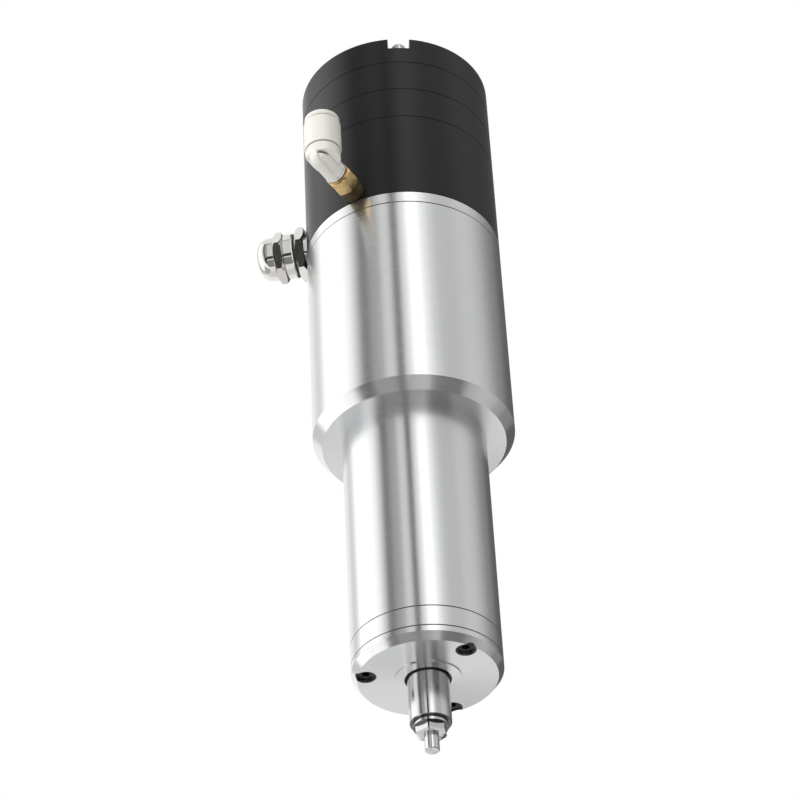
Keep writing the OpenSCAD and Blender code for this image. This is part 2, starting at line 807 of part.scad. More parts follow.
module end_plate() {
    color("silver") difference() {
        turned([
            [hub_r, z_hub],
            [hub_r, barrel_len - spigot_depth],
            [barrel_bore_r - fit, barrel_len - spigot_depth],
            [barrel_bore_r - fit, barrel_len],
            [barrel_r - seam_bevel, barrel_len],
            [barrel_r, barrel_len + seam_bevel],
            [barrel_r, z_plate_top - seam_bevel],
            [barrel_r - seam_bevel, z_plate_top],
            [register_r, z_plate_top],
            [register_r, z_plate_top + register_h],
            [register_r - register_wall, z_plate_top + register_h],
            [register_r - register_wall, z_plate_top],
            [lip_r, z_plate_top],
            [lip_r, z_preload_end],
            [rear_bearing_r + fit, z_preload_end],
            [rear_bearing_r + fit, z_hub],
        ]);
        around(tie_count, tie_angle, tie_circle_r)
            rod(z_plate_top - tie_thread_len - 0.4, z_plate_top + cut, m4_r + fit);
        around(tie_count, tie_angle + 45, tie_circle_r) {
            rod(barrel_len - cut, z_plate_top + cut, m3_clear_r);
            rod(z_plate_top - m3_head_h - 0.1, z_plate_top + cut, m3_head_r + head_room);
        }
        for (side = [-1, 1])
            at(gland_angle + side * 24, (hub_r + register_r - register_wall) / 2 + 0.6)
                rod(barrel_len - spigot_depth - cut, z_plate_top + cut, 2.4);
    }
}

module end_plate_screws() {
    color("dimgray") around(tie_count, tie_angle + 45, tie_circle_r)
        cap_screw(z_plate_top - m3_head_h - 0.1, m3_r, plate_screw_len, m3_head_r, m3_head_h,
            m3_socket_r);
}

module rear_bearing_outer_ring() {
    color("lightgray") race(z_rear_bearing, rear_bearing_w, rear_bearing_r,
        rear_pitch_r + 1.7, rear_pitch_r, rear_ball_r);
}

module preload_spring() {
    outer = rear_bearing_r - 0.1;
    inner = lip_r + 0.6;
    t = 0.6;
    color("dimgray") turned([
        [outer, z_rear_bearing_end],
        [outer, z_rear_bearing_end + t],
        [inner, z_preload_end],
        [inner, z_preload_end - t],
    ]);
}

module rear_housing() {
    color([0.13, 0.13, 0.14]) difference() {
        turned([
            [wiring_r, z_plate_top],
            [barrel_r - seam_bevel, z_plate_top],
            [barrel_r, z_plate_top + seam_bevel],
            [barrel_r, z_rear_end - seam_bevel],
            [barrel_r - seam_bevel, z_rear_end],
            [rod_bore_r, z_rear_end],
            [rod_bore_r, z_wiring_top],
            [wiring_r, z_wiring_top],
        ]);
        tie_holes(z_plate_top - cut, z_rear_end + cut);
        air_channel();
        stack_groove(z_rear_end);
        rod_seal_groove(z_webs[0]);
        sideways(elbow_angle, z_elbow) rod(stud_hole_start, barrel_r + cut, stud_hole_r);
        sideways(gland_angle, z_gland)
            rod(wiring_r - 4, barrel_r + cut, gland_thread_r + fit);
    }
}

module stage_ring(z) {
    color([0.13, 0.13, 0.14]) difference() {
        turned([
            [chamber_r, z],
            [barrel_r - seam_bevel, z],
            [barrel_r, z + seam_bevel],
            [barrel_r, z + stage_h - seam_bevel],
            [barrel_r - seam_bevel, z + stage_h],
            [rod_bore_r, z + stage_h],
            [rod_bore_r, z + stage_h - web_t],
            [chamber_r, z + stage_h - web_t],
        ]);
        tie_holes(z - cut, z + stage_h + cut);
        air_channel();
        stack_groove(z + stage_h);
        rod_seal_groove(z + stage_h - web_t);
    }
}

module stage_ring_lower() {
    stage_ring(z_rear_end);
}

module stage_ring_upper() {
    stage_ring(z_stage_2);
}

module top_cover() {
    color([0.13, 0.13, 0.14]) difference() {
        turned([
            [chamber_r, z_cover],
            [barrel_r - seam_bevel, z_cover],
            [barrel_r, z_cover + seam_bevel],
            [barrel_r, z_top - seam_bevel],
            [barrel_r - seam_bevel, z_top],
            [0, z_top],
            [0, z_roof],
            [chamber_r, z_roof],
        ]);
        tie_holes(z_cover - cut, z_top + cut);
        around(tie_count, tie_angle, tie_circle_r)
            rod(z_tie_seat, z_top + cut, m4_head_r + head_room);
        air_channel();
        rotate([0, 0, notch_angle])
            translate([barrel_r - notch_len, -notch_w / 2, z_top - notch_depth])
                cube([notch_len + cut, notch_w, notch_depth + cut]);
        at(notch_angle, tie_circle_r)
            rod(z_top - notch_depth - 6, z_top, m3_r + fit);
    }
}

module tie_screws() {
    color("dimgray") around(tie_count, tie_angle, tie_circle_r)
        cap_screw(z_tie_seat, m4_r, z_tie_seat - z_plate_top + tie_thread_len, m4_head_r,
            m4_head_h, m4_socket_r);
}

module stack_seals() {
    color("black") for (z = [z_rear_end, z_stage_2, z_cover])
        torus(z - stack_groove_w / 2, stack_groove_r, stack_seal_r);
}

module rod_seals() {
    color("black") for (z = z_webs)
        torus(z + web_t / 2, rod_seal_r, seal_cord_r);
}

// The helix's centre line, from its lower seat to its upper one.
function coil_point(turn, low, height) =
    [return_spring_d / 2 * cos(360 * turn), return_spring_d / 2 * sin(360 * turn),
        low + height * turn / return_turns];

module return_spring() {
    wire_r = return_wire_d / 2;
    sides = 8;
    per_turn = 20;
    rings = return_turns * per_turn;
    low = z_plate_top + wire_r;
    height = return_spring_h - return_wire_d;
    function ring_point(i, k) =
        let (t = i / per_turn, c = coil_point(t, low, height), a = 360 * k / sides)
        [c[0] + wire_r * cos(a) * cos(360 * t), c[1] + wire_r * cos(a) * sin(360 * t),
            c[2] + wire_r * sin(a)];
    points = [for (i = [0 : rings]) for (k = [0 : sides - 1]) ring_point(i, k)];
    sides_faces = [for (i = [0 : rings - 1]) for (k = [0 : sides - 1])
        let (n = (k + 1) % sides)
        [i * sides + k, i * sides + n, (i + 1) * sides + n, (i + 1) * sides + k]];
    start_face = [[for (k = [0 : sides - 1]) sides - 1 - k]];
    end_face = [[for (k = [0 : sides - 1]) rings * sides + k]];
    color("steelblue")
        polyhedron(points = points, faces = concat(sides_faces, start_face, end_face));
}

module earth_screw() {
    z = z_top - notch_depth + earth_washer_t;
    head_r = earth_head_d / 2;
    color("tan") at(notch_angle, tie_circle_r) difference() {
        turned([
            [0, z - earth_washer_t - 5],
            [m3_r, z - earth_washer_t - 5],
            [m3_r, z],
            [head_r, z],
            [head_r, z + earth_head_h * 0.55],
            [head_r * 0.86, z + earth_head_h * 0.85],
            [head_r * 0.55, z + earth_head_h],
            [0, z + earth_head_h],
        ]);
        for (turn = [0, 90])
            rotate([0, 0, turn])
                translate([-head_r * 0.6, -0.4, z + earth_head_h - 1])
                    cube([head_r * 1.2, 0.8, 2]);
    }
}

module earth_washer() {
    z = z_top - notch_depth;
    color("black") at(notch_angle, tie_circle_r)
        tube(z, z + earth_washer_t, earth_washer_d / 2, m3_r + 0.1);
}

module elbow_stud() {
    color("goldenrod") sideways(elbow_angle, z_elbow) difference() {
        union() {
            rod(stud_thread_start, stud_hex_start + cut, stud_thread_r);
            rotate([0, 0, stud_hex_turn])
                hex_prism(stud_hex_start, stud_hex_end, stud_af, true, true);
            rod(stud_hex_end - cut, stud_ring_end, stud_ring_d / 2);
            rod(stud_hex_end - cut, elbow_arm_start + stud_spigot_len, stud_spigot_r);
        }
        rod(stud_thread_start - cut, elbow_arm_start + stud_spigot_len + cut, air_bore_d / 2);
    }
}

// A disc under the upright tube with its lower edge rounded.
module elbow_end(r, bottom, top, edge_r) {
    rotate_extrude() intersection() {
        translate([0, bottom]) square([r, top - bottom]);
        union() {
            translate([0, bottom]) square([r - edge_r, top - bottom]);
            translate([0, bottom + edge_r]) square([r, top - bottom]);
            translate([r - edge_r, bottom + edge_r]) circle(r = edge_r);
        }
    }
}

// The round arm, from the stud to its own rounded end.
module elbow_arm() {
    end_r = elbow_root_r - elbow_step;
    sideways(elbow_angle, z_elbow) rod(elbow_arm_start, elbow_reach, elbow_arm_r);
    intersection() {
        sideways(elbow_angle, z_elbow) rod(elbow_reach - 1, elbow_reach + end_r + 1, elbow_arm_r);
        on_elbow() elbow_end(end_r, elbow_bottom, elbow_root_bottom + 1, elbow_end_round);
    }
}

// The spine runs under the arm and up its outer end to the collar. X points
// down here and Y runs across the arm.
module elbow_spine() {
    height = elbow_root_top - elbow_bottom;
    sideways(elbow_angle, z_elbow) translate([0, -elbow_spine_w / 2, elbow_arm_start])
        cube([-elbow_bottom, elbow_spine_w, elbow_arm_len]);
    intersection() {
        sideways(elbow_angle, z_elbow)
            translate([-elbow_root_top, -elbow_spine_w / 2, elbow_reach - 1])
                cube([height, elbow_spine_w, elbow_collar_r + 2]);
        on_elbow() elbow_end(elbow_collar_r, elbow_bottom, elbow_root_top, elbow_end_round);
    }
}

module elbow_body() {
    color("ivory") difference() {
        union() {
            elbow_arm();
            elbow_spine();
            on_elbow() turned([
                [0, elbow_root_bottom],
                [elbow_root_r, elbow_root_bottom],
                [elbow_root_r, elbow_root_top - elbow_groove],
                [elbow_root_r - elbow_groove, elbow_root_top - elbow_groove],
                [elbow_root_r - elbow_groove, elbow_root_top],
                [elbow_collar_r - elbow_bevel, elbow_root_top],
                [elbow_collar_r, elbow_root_top + elbow_bevel],
                [elbow_collar_r, elbow_collar_top - elbow_bevel],
                [elbow_collar_r - elbow_bevel, elbow_collar_top],
                [0, elbow_collar_top],
            ]);
        }
        sideways(elbow_angle, z_elbow) {
            rod(elbow_arm_start - cut, elbow_arm_start + stud_spigot_len + 0.2,
                stud_spigot_r + run);
            rod(elbow_arm_start, elbow_reach, air_bore_d / 2);
        }
        on_elbow() {
            rod(0, cartridge_floor, air_bore_d / 2);
            rod(cartridge_floor - tube_stop_h, cartridge_floor, tube_bore_r);
            rod(cartridge_floor, sleeve_foot - sleeve_gap, cartridge_r);
            rod(cartridge_floor, elbow_collar_top + cut, sleeve_r + run);
        }
    }
}

// Upright parts in the elbow, in heights above the arm's axis.
module on_elbow() {
    sideways(elbow_angle, z_elbow) translate([0, 0, elbow_reach]) rotate([0, -90, 0]) children();
}

module elbow_tube_seal() {
    color("black") on_elbow()
        tube(cartridge_floor, cartridge_floor + tube_seal_h, cartridge_r - fit, tube_bore_r);
}

module elbow_grip_ring() {
    z = cartridge_floor + tube_seal_h;
    color("silver") on_elbow() turned([
        [cartridge_r - fit, z],
        [cartridge_r - fit, z + 0.4],
        [tube_bore_r + 0.1, z + grip_h],
        [tube_bore_r + 0.1, z + grip_h - 0.4],
    ]);
}

module release_sleeve() {
    rim_r = sleeve_rim_d / 2;
    bevel = 0.4;
    color("white") on_elbow() turned([
        [tube_bore_r, sleeve_foot],
        [sleeve_r, sleeve_foot],
        [sleeve_r, elbow_collar_top + sleeve_gap],
        [rim_r - bevel, elbow_collar_top + sleeve_gap],
        [rim_r, elbow_collar_top + sleeve_gap + bevel],
        [rim_r, sleeve_top - bevel],
        [rim_r - bevel, sleeve_top],
        [tube_bore_r + bevel, sleeve_top],
        [tube_bore_r, sleeve_top - bevel],
    ]);
}

module gland_body() {
    color("lightgray") sideways(gland_angle, z_gland) turned([
        [gland_passage_r, gland_tail],
        [gland_thread_r, gland_tail],
        [gland_thread_r, gland_collar_start],
        [gland_collar_r - gland_bevel, gland_collar_start],
        [gland_collar_r, gland_collar_start + gland_bevel],
        [gland_collar_r, gland_collar_end - gland_bevel],
        [gland_collar_r - gland_bevel, gland_collar_end],
        [gland_neck_r, gland_collar_end],
        [gland_neck_r, gland_clamp_start],
        [gland_seal_r + fit, gland_clamp_start],
        [gland_seal_r + fit, gland_seal_start],
        [gland_passage_r, gland_seal_start],
    ]);
}

module gland_lock_nut() {
    color("lightgray") sideways(gland_angle, z_gland) difference() {
        rotate([0, 0, gland_nut_turn])
            hex_prism(gland_nut_start, gland_ring_start, gland_nut_af, true, true);
        rod(gland_nut_start - cut, gland_ring_start + cut, gland_thread_r + fit);
    }
}

module gland_sealing_ring() {
    color("black") sideways(gland_angle, z_gland)
        tube(gland_ring_start, gland_collar_start, gland_collar_r - gland_bevel,
            gland_thread_r + fit);
}

module gland_seal() {
    color("black") sideways(gland_angle, z_gland)
        tube(gland_seal_start, dome_cone_end, gland_seal_r, gland_cable_r);
}

// The basket that the dome's inner cone presses onto the seal.
module gland_clamp() {
    color("dimgray") sideways(gland_angle, z_gland) turned([
        [gland_seal_r + fit, gland_clamp_start],
        [gland_neck_r, gland_clamp_start],
        [gland_neck_r, dome_cone_start],
        [dome_cone_r - clamp_clear, gland_clamp_end],
        [gland_seal_r + fit, gland_clamp_end],
    ]);
}

module gland_dome_nut() {
    inner = gland_neck_r + run;
    color("lightgray") sideways(gland_angle, z_gland) difference() {
        union() {
            rotate([0, 0, dome_hex_turn])
                hex_prism(dome_start, dome_hex_end, dome_af, true, true);
            rotate_extrude() intersection() {
                translate([0, dome_hex_end]) square([dome_r, dome_len]);
                union() {
                    translate([0, dome_hex_end]) square([dome_r, dome_len - dome_round]);
                    translate([0, dome_hex_end]) square([dome_r - dome_round, dome_len]);
                    translate([dome_r - dome_round, dome_end - dome_round])
                        circle(r = dome_round);
                }
            }
        }
        turned([
            [0, dome_start - cut],
            [inner, dome_start - cut],
            [inner, dome_cone_start],
            [dome_cone_r, dome_cone_end],
            [0, dome_cone_end],
        ]);
        rod(dome_start, dome_end + cut, dome_hole_d / 2);
    }
}

module shaft() {
    color("lightgray") turned([
        [taper_mouth_d / 2, z_shaft_tip],
        [shaft_nose_r - shaft_bevel, z_shaft_tip],
        [shaft_nose_r, z_shaft_tip + shaft_bevel],
        [shaft_nose_r, z_slinger_end],
        [shaft_collar_r, z_slinger_end],
        [shaft_collar_r, z_bearing_1],
        [front_journal_r, z_bearing_1],
        [front_journal_r, z_front_nut_end],
        [rotor_seat_r, z_front_nut_end],
        [rotor_seat_r, z_rear_bearing],
        [rear_journal_r, z_rear_bearing],
        [rear_journal_r, z_shaft_end],
        [spring_bore_r, z_shaft_end],
        [spring_bore_r, z_disc],
        [guide_r, z_disc],
        [guide_r, z_taper_end],
        [taper_small_d / 2, z_taper_end],
    ]);
}

module slinger() {
    color("gray") tube(z_slinger, z_slinger_end, slinger_d / 2, shaft_nose_r + fit);
}

module front_bearing_inner_rings() {
    color("lightgray") for (z = [z_bearing_1, z_bearing_2])
        race(z, front_bearing_w, front_pitch_r - race_gap, front_journal_r + fit, front_pitch_r,
            front_ball_r);
}

module inner_spacer() {
    color("gray") tube(z_spacer, z_bearing_2, front_pitch_r - race_gap - 0.4,
        front_journal_r + fit);
}

// A round lock nut with spanner slots.
module slotted_nut(z, width, r, bore) {
    difference() {
        tube(z, z + width, r, bore);
        around(4, 0, r - 2)
            translate([0, -2, z + width - 3]) cube([4, 4, 4]);
    }
}

module front_lock_nut() {
    color("dimgray") slotted_nut(z_bearing_stop, front_nut_w, front_nut_d / 2,
        front_journal_r + fit);
}

module rotor_core() {
    color("slategray") tube(z_core, z_core_end, rotor_r, rotor_seat_r + fit);
}

module rotor_end_rings() {
    color("silver") for (z = [z_core - end_ring_len, z_core_end])
        tube(z, z + end_ring_len, rotor_r - 0.5, rotor_seat_r + 3);
}

module rear_bearing_inner_ring() {
    color("lightgray") race(z_rear_bearing, rear_bearing_w, rear_pitch_r - 1.7,
        rear_journal_r + fit, rear_pitch_r, rear_ball_r);
}

module rear_lock_nut() {
    color("dimgray") slotted_nut(z_rear_bearing_end, rear_nut_w, rear_nut_r,
        rear_journal_r + fit);
}

module disc_springs() {
    r_out = disc_d / 2;
    r_in = disc_bore_d / 2;
    cone = disc_h - disc_t;
    color("steelblue") for (i = [0 : disc_count - 1]) {
        z = z_disc + i * disc_pitch;
        up = i % 2 == 0 ? cone : 0;
        down = cone - up;
        turned([[r_in, z + up], [r_in, z + up + disc_t], [r_out, z + down + disc_t],
            [r_out, z + down]]);
    }
}

module front_bearing_cages() {
    color("saddlebrown") for (z = [z_bearing_1, z_bearing_2])
        cage(z, front_bearing_w, front_pitch_r, front_ball_r, front_ball_count);
}

module front_bearing_balls() {
    color("white") for (z = [z_bearing_1, z_bearing_2])
        ball_ring(z + front_bearing_w / 2, front_pitch_r, front_ball_r, front_ball_count);
}

module rear_bearing_cage() {
    color("saddlebrown")
        cage(z_rear_bearing, rear_bearing_w, rear_pitch_r, rear_ball_r, rear_ball_count);
}

module rear_bearing_balls() {
    color("white")
        ball_ring(z_rear_bearing + rear_bearing_w / 2, rear_pitch_r, rear_ball_r,
            rear_ball_count);
}

module drawbar() {
    waist_r = drawbar_waist_d / 2;
    rod_r_small = drawbar_rod_d / 2;
    color("darkgray") turned([
        [shank_d / 2 + fit, z_drawbar],
        [drawbar_r, z_drawbar],
        [drawbar_r, z_drawbar + drawbar_guide_len],
        [waist_r, z_drawbar + drawbar_guide_len + 1],
        [waist_r, z_disc - drawbar_guide_len - 5],
        [drawbar_r, z_disc - drawbar_guide_len - 4],
        [drawbar_r, z_disc - 4],
        [rod_r_small, z_disc - 4],
        [rod_r_small, z_drawbar_end],
        [0, z_drawbar_end],
        [0, z_collet_shank + shank_len + 0.6],
        [shank_d / 2 + fit, z_collet_shank + shank_len + 0.6],
    ]);
}

module push_head() {
    color("gray") tube(z_push_head, z_push_head_top, spring_bore_r - run,
        drawbar_rod_d / 2 + fit);
}

module collet() {
    pin_bore_r = pin_d / 2 + run;
    z_bore_end = z_pin_tip + pin_len + 1;
    color("lightgray") difference() {
        union() {
            intersection() {
                translate([0, 0, z_collet_face]) rotate([0, 0, collet_turn])
                    cylinder(h = collet_hex_h, r = collet_corner_r, $fn = 6);
                turned([
                    [0, z_collet_face],
                    [collet_corner_r - collet_bevel_r, z_collet_face],
                    [collet_corner_r + collet_bevel_r, z_collet_face + 2 * collet_bevel_z],
                    [collet_corner_r + collet_bevel_r, z_collet_flange],
                    [0, z_collet_flange],
                ]);
            }
            turned([
                [0, z_collet_flange],
                [collet_flange_d / 2, z_collet_flange],
                [collet_flange_d / 2, z_shaft_tip],
                [taper_mouth_d / 2 - run, z_shaft_tip],
                [taper_small_d / 2 - run, z_collet_shank],
                [shank_d / 2, z_collet_shank],
                [shank_d / 2, z_collet_shank + shank_len],
                [0, z_collet_shank + shank_len],
            ]);
        }
        rod(z_collet_face - cut, z_bore_end, pin_bore_r);
        for (turn = [0, 120, 240])
            rotate([0, 0, collet_turn + turn])
                translate([0, -slit_w / 2, z_collet_face - cut])
                    cube([taper_mouth_d, slit_w, z_collet_shank - slit_land - z_collet_face + cut]);
    }
}

module tool_pin() {
    bevel = 0.3;
    color("white") turned([
        [0, z_pin_tip],
        [pin_d / 2 - bevel, z_pin_tip],
        [pin_d / 2, z_pin_tip + bevel],
        [pin_d / 2, z_pin_tip + pin_len - bevel],
        [pin_d / 2 - bevel, z_pin_tip + pin_len],
        [0, z_pin_tip + pin_len],
    ]);
}

module push_rod() {
    color("darkgray") turned([
        [0, z_rod_tip],
        [rod_tip_d / 2, z_rod_tip],
        [rod_tip_d / 2, z_rod_tip + rod_tip_h],
        [rod_r, z_rod_tip + rod_tip_h],
        [rod_r, z_rod_collar],
        [rod_collar_d / 2, z_rod_collar],
        [rod_collar_d / 2, z_rod_collar + rod_collar_t],
        [rod_r, z_rod_collar + rod_collar_t],
        [rod_r, z_pistons[0]],
        [rod_core_r, z_pistons[0]],
        [rod_core_r, z_piston_top],
        [0, z_piston_top],
    ]);
}

module piston(z) {
    groove_z = z + piston_t / 2 - seal_groove_h / 2;
    groove_floor = piston_seal_r - seal_cord_r - run;
    turned([
        [rod_core_r + fit, z],
        [piston_r, z],
        [piston_r, groove_z],
        [groove_floor, groove_z],
        [groove_floor, groove_z + seal_groove_h],
        [piston_r, groove_z + seal_groove_h],
        [piston_r, z + piston_t],
        [rod_core_r + fit, z + piston_t],
    ]);
}

module piston_lower() {
    color("silver") piston(z_pistons[0]);
}

module piston_middle() {
    color("silver") piston(z_pistons[1]);
}

module piston_upper() {
    color("silver") difference() {
        piston(z_pistons[2]);
        rod(z_piston_top - piston_nut_h, z_piston_top + cut, piston_nut_af / sqrt(3) + 0.4);
    }
}

module piston_spacers() {
    color("gray") for (i = [0, 1])
        tube(z_pistons[i] + piston_t, z_pistons[i + 1], rod_r, rod_core_r + fit);
}

module piston_seals() {
    color("black") for (z = z_pistons)
        torus(z + piston_t / 2, piston_seal_r, seal_cord_r);
}

module piston_nut() {
    color("dimgray") difference() {
        hex_prism(z_piston_top - piston_nut_h, z_piston_top, piston_nut_af, false, true);
        rod(z_piston_top - piston_nut_h - cut, z_piston_top + cut, rod_core_r + fit);
    }
}

housing();
bearing_flange();
front_cap();
front_cap_screws();
air_seal_ring();
front_bearing_outer_rings();
outer_spacer();
stator_core();
stator_windings();
end_plate();
end_plate_screws();
rear_bearing_outer_ring();
preload_spring();
rear_housing();
stage_ring_lower();
stage_ring_upper();
top_cover();
tie_screws();
stack_seals();
rod_seals();
return_spring();
earth_screw();
earth_washer();
elbow_stud();
gland_body();
gland_lock_nut();
gland_sealing_ring();
gland_seal();
gland_clamp();
shaft();
slinger();
front_bearing_inner_rings();
inner_spacer();
front_lock_nut();
rotor_core();
rotor_end_rings();
rear_bearing_inner_ring();
rear_lock_nut();
disc_springs();
front_bearing_cages();
front_bearing_balls();
rear_bearing_cage();
rear_bearing_balls();
drawbar();
push_head();
collet();
tool_pin();
push_rod();
piston_lower();
piston_middle();
piston_upper();
piston_spacers();
piston_seals();
piston_nut();
elbow_body();
elbow_grip_ring();
elbow_tube_seal();
release_sleeve();
gland_dome_nut();
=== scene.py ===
# %% [markdown]
# # A motor spindle, from bare solids to a studio picture
#
# The object is an air-released motor spindle that hangs with its tool end down. Its solids are
# already made at their real size, so this lesson adds what they lack: finishes, fine threads,
# softened edges, a studio and a camera. Each step first says what the real thing is, how it could
# be made here, and why one way was picked.

# %% Load the solids
import json
import math

import bpy
import numpy as np
from mathutils import Matrix, Vector


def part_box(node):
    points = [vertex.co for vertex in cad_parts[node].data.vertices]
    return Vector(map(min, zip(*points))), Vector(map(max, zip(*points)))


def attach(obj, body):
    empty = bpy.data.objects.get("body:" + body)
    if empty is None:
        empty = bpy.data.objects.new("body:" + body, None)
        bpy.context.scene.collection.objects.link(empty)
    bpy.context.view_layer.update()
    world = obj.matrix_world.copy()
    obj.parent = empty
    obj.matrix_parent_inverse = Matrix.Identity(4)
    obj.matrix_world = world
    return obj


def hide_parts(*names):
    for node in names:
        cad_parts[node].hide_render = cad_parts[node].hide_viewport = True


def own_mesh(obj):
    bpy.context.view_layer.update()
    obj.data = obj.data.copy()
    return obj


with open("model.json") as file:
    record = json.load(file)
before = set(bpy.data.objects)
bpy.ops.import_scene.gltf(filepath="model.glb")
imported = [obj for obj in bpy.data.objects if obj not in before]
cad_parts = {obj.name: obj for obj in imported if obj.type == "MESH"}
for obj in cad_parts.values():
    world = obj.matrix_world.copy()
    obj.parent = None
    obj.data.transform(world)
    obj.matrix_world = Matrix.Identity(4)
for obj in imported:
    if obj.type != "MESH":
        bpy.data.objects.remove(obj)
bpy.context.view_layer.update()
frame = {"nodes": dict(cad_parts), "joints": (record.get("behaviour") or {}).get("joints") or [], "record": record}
nodes = frame["nodes"]
MM = 0.001
MICRON = 0.000001

# %% [markdown]
# ## The camera
#
# The picture was taken from below, from the tool's side, with a long lens. A camera could be aimed
# by eye with a Track To constraint, but a fitted position and three angles give the same view every
# time. The turns are applied in the order in which a photographer makes them: swing the tripod,
# tip the camera, then level it.

# %% Make the camera
CAMERA_PLACE = Vector((0.0, -0.94083, -0.70396))
CAMERA_SWING = math.radians(0.3115)
CAMERA_TIP = math.radians(127.793)
CAMERA_LEVEL = math.radians(-3.1718)
LENS = 123.25

camera_data = bpy.data.cameras.new("camera")
camera_data.lens = LENS
camera_data.clip_end = 50
camera = bpy.data.objects.new("camera", camera_data)
turn = Matrix.Rotation(CAMERA_SWING, 4, "Z") @ Matrix.Rotation(CAMERA_TIP, 4, "X")
camera.matrix_world = (
    Matrix.Translation(CAMERA_PLACE) @ turn @ Matrix.Rotation(CAMERA_LEVEL, 4, "Z")
)
bpy.context.scene.collection.objects.link(camera)
bpy.context.scene.camera = camera
print("camera distance in mm:", round(CAMERA_PLACE.length / MM))

# %% [markdown]
# ## Shader maths as plain Python
#
# Every finish below is a small graph of nodes. Wiring them by hand hides the idea, so one class
# wraps a socket and lets Python's own operators add the Math nodes. One more method adds any other
# node: its settings come first, because some of them change which sockets it has.


# %% A socket that understands arithmetic
class Value:
    """The output of a node. Arithmetic on it adds Math nodes to its graph."""

    def __init__(self, graph, socket):
        self.graph = graph
        self.socket = socket

    def maths(self, operation, *terms):
        inputs = dict(enumerate(terms))
        return self.graph.node("ShaderNodeMath", {"operation": operation}, inputs)

    def __add__(self, other):
        return self.maths("ADD", self, other)

    def __radd__(self, other):
        return self.maths("ADD", other, self)

    def __sub__(self, other):
        return self.maths("SUBTRACT", self, other)

    def __rsub__(self, other):
        return self.maths("SUBTRACT", other, self)

    def __mul__(self, other):
        return self.maths("MULTIPLY", self, other)

    def __rmul__(self, other):
        return self.maths("MULTIPLY", other, self)

    def __abs__(self):
        return self.maths("ABSOLUTE", self)


class Graph:
    """The node tree of one material or of the world."""

    def __init__(self, tree):
        self.tree = tree
        tree.nodes.clear()

    def node(self, kind, settings=None, inputs=None, output=0):
        made = self.tree.nodes.new(kind)
        for name, setting in (settings or {}).items():
            if name == "stops":
                self.set_stops(made.color_ramp, setting)
            else:
                setattr(made, name, setting)
        for name, value in (inputs or {}).items():
            if isinstance(value, Value):
                self.tree.links.new(value.socket, made.inputs[name])
            else:
                made.inputs[name].default_value = value
        return Value(self, made.outputs[output]) if made.outputs else made

    @staticmethod
    def set_stops(ramp, stops):
        while len(ramp.elements) < len(stops):
            ramp.elements.new(0.5)
        for element, (place, level) in zip(ramp.elements, stops):
            element.position = place
            element.color = (level, level, level, 1)

    def mix_colours(self, mask, low, high):
        """low where the mask is 0, high where it is 1: sockets 6 and 7 take colours."""
        settings = {"data_type": "RGBA"}
        return self.node("ShaderNodeMix", settings, {0: mask, 6: low, 7: high}, output=2)

    def ramp(self, value, low, high):
        """0 below low, 1 above high and a straight rise between."""
        inputs = {"Value": value, "From Min": low, "From Max": high}
        return self.node("ShaderNodeMapRange", None, inputs)


print("operators ready")

# %% [markdown]
# ## Marks that follow the lathe
#
# A lathe leaves grooves that run round the axis. On a cylinder they are rings at equal height, on
# an end face they are rings at equal radius, and on a bevel something between. A texture for each
# surface would work, but one coordinate does it all: the distance along the profile, which is
# height where the normal points sideways and radius where it points along the axis.


# %% Coordinates of a turned part
def object_place(graph):
    return graph.node("ShaderNodeTexCoord", output="Object")


def split(graph, vector):
    """The X, Y and Z of a vector, as three values."""
    part = graph.node("ShaderNodeSeparateXYZ", None, {0: vector})
    outputs = part.socket.node.outputs
    return [Value(graph, outputs[i]) for i in range(3)]


def stretched_noise(graph, vector, scales, detail=3.0):
    """Noise whose grain is stretched by a scale for each axis, in grains per metre."""
    moved = graph.node("ShaderNodeVectorMath", {"operation": "MULTIPLY"}, {0: vector, 1: scales})
    inputs = {"Vector": moved, "Scale": 1.0, "Detail": detail, "Roughness": 0.6}
    return graph.node("ShaderNodeTexNoise", None, inputs)


def lathe_place(graph):
    """(distance along the profile, X, Y) as a vector: grooves are where the first is equal."""
    place = object_place(graph)
    x, y, z = split(graph, place)
    normal = graph.node("ShaderNodeNewGeometry", output="Normal")
    facing = abs(split(graph, normal)[2])
    flat = graph.node("ShaderNodeCombineXYZ", None, {0: x, 1: y})
    radius = graph.node("ShaderNodeVectorMath", {"operation": "LENGTH"}, {0: flat}, output="Value")
    along = z * (1 - facing) + radius * facing
    return graph.node("ShaderNodeCombineXYZ", None, {0: along, 1: x, 2: y})


print("lathe coordinates ready")

# %% [markdown]
# ## One shader, many finishes
#
# All the finishes share the Principled shader. What is the same all over a part, such as the
# stretch of a highlight, is set straight on the shader. What varies, such as roughness, comes from
# a graph.


# %% A blank finish
def finish(name, settings):
    """A new material with its graph and its shader, whose constant sockets are set."""
    material = bpy.data.materials.new(name)
    material.use_nodes = True
    graph = Graph(material.node_tree)
    shader = graph.node("ShaderNodeBsdfPrincipled", None, settings)
    graph.node("ShaderNodeOutputMaterial", None, {0: shader})
    return material, graph, shader


def feed(graph, shader, colour=None, roughness=None, height=None, relief=0.0):
    """Links what varies: a colour, a roughness, and a height that bumps the surface.
    relief is how deep the bumps are, in metres, where the height runs from 0 to 1.
    """
    sockets = shader.socket.node.inputs
    if colour is not None:
        graph.tree.links.new(colour.socket, sockets["Base Color"])
    if roughness is not None:
        graph.tree.links.new(roughness.socket, sockets["Roughness"])
    if height is not None:
        inputs = {"Strength": 1.0, "Distance": relief, "Height": height}
        bump = graph.node("ShaderNodeBump", None, inputs)
        graph.tree.links.new(bump.socket, sockets["Normal"])


print("blank finish ready")

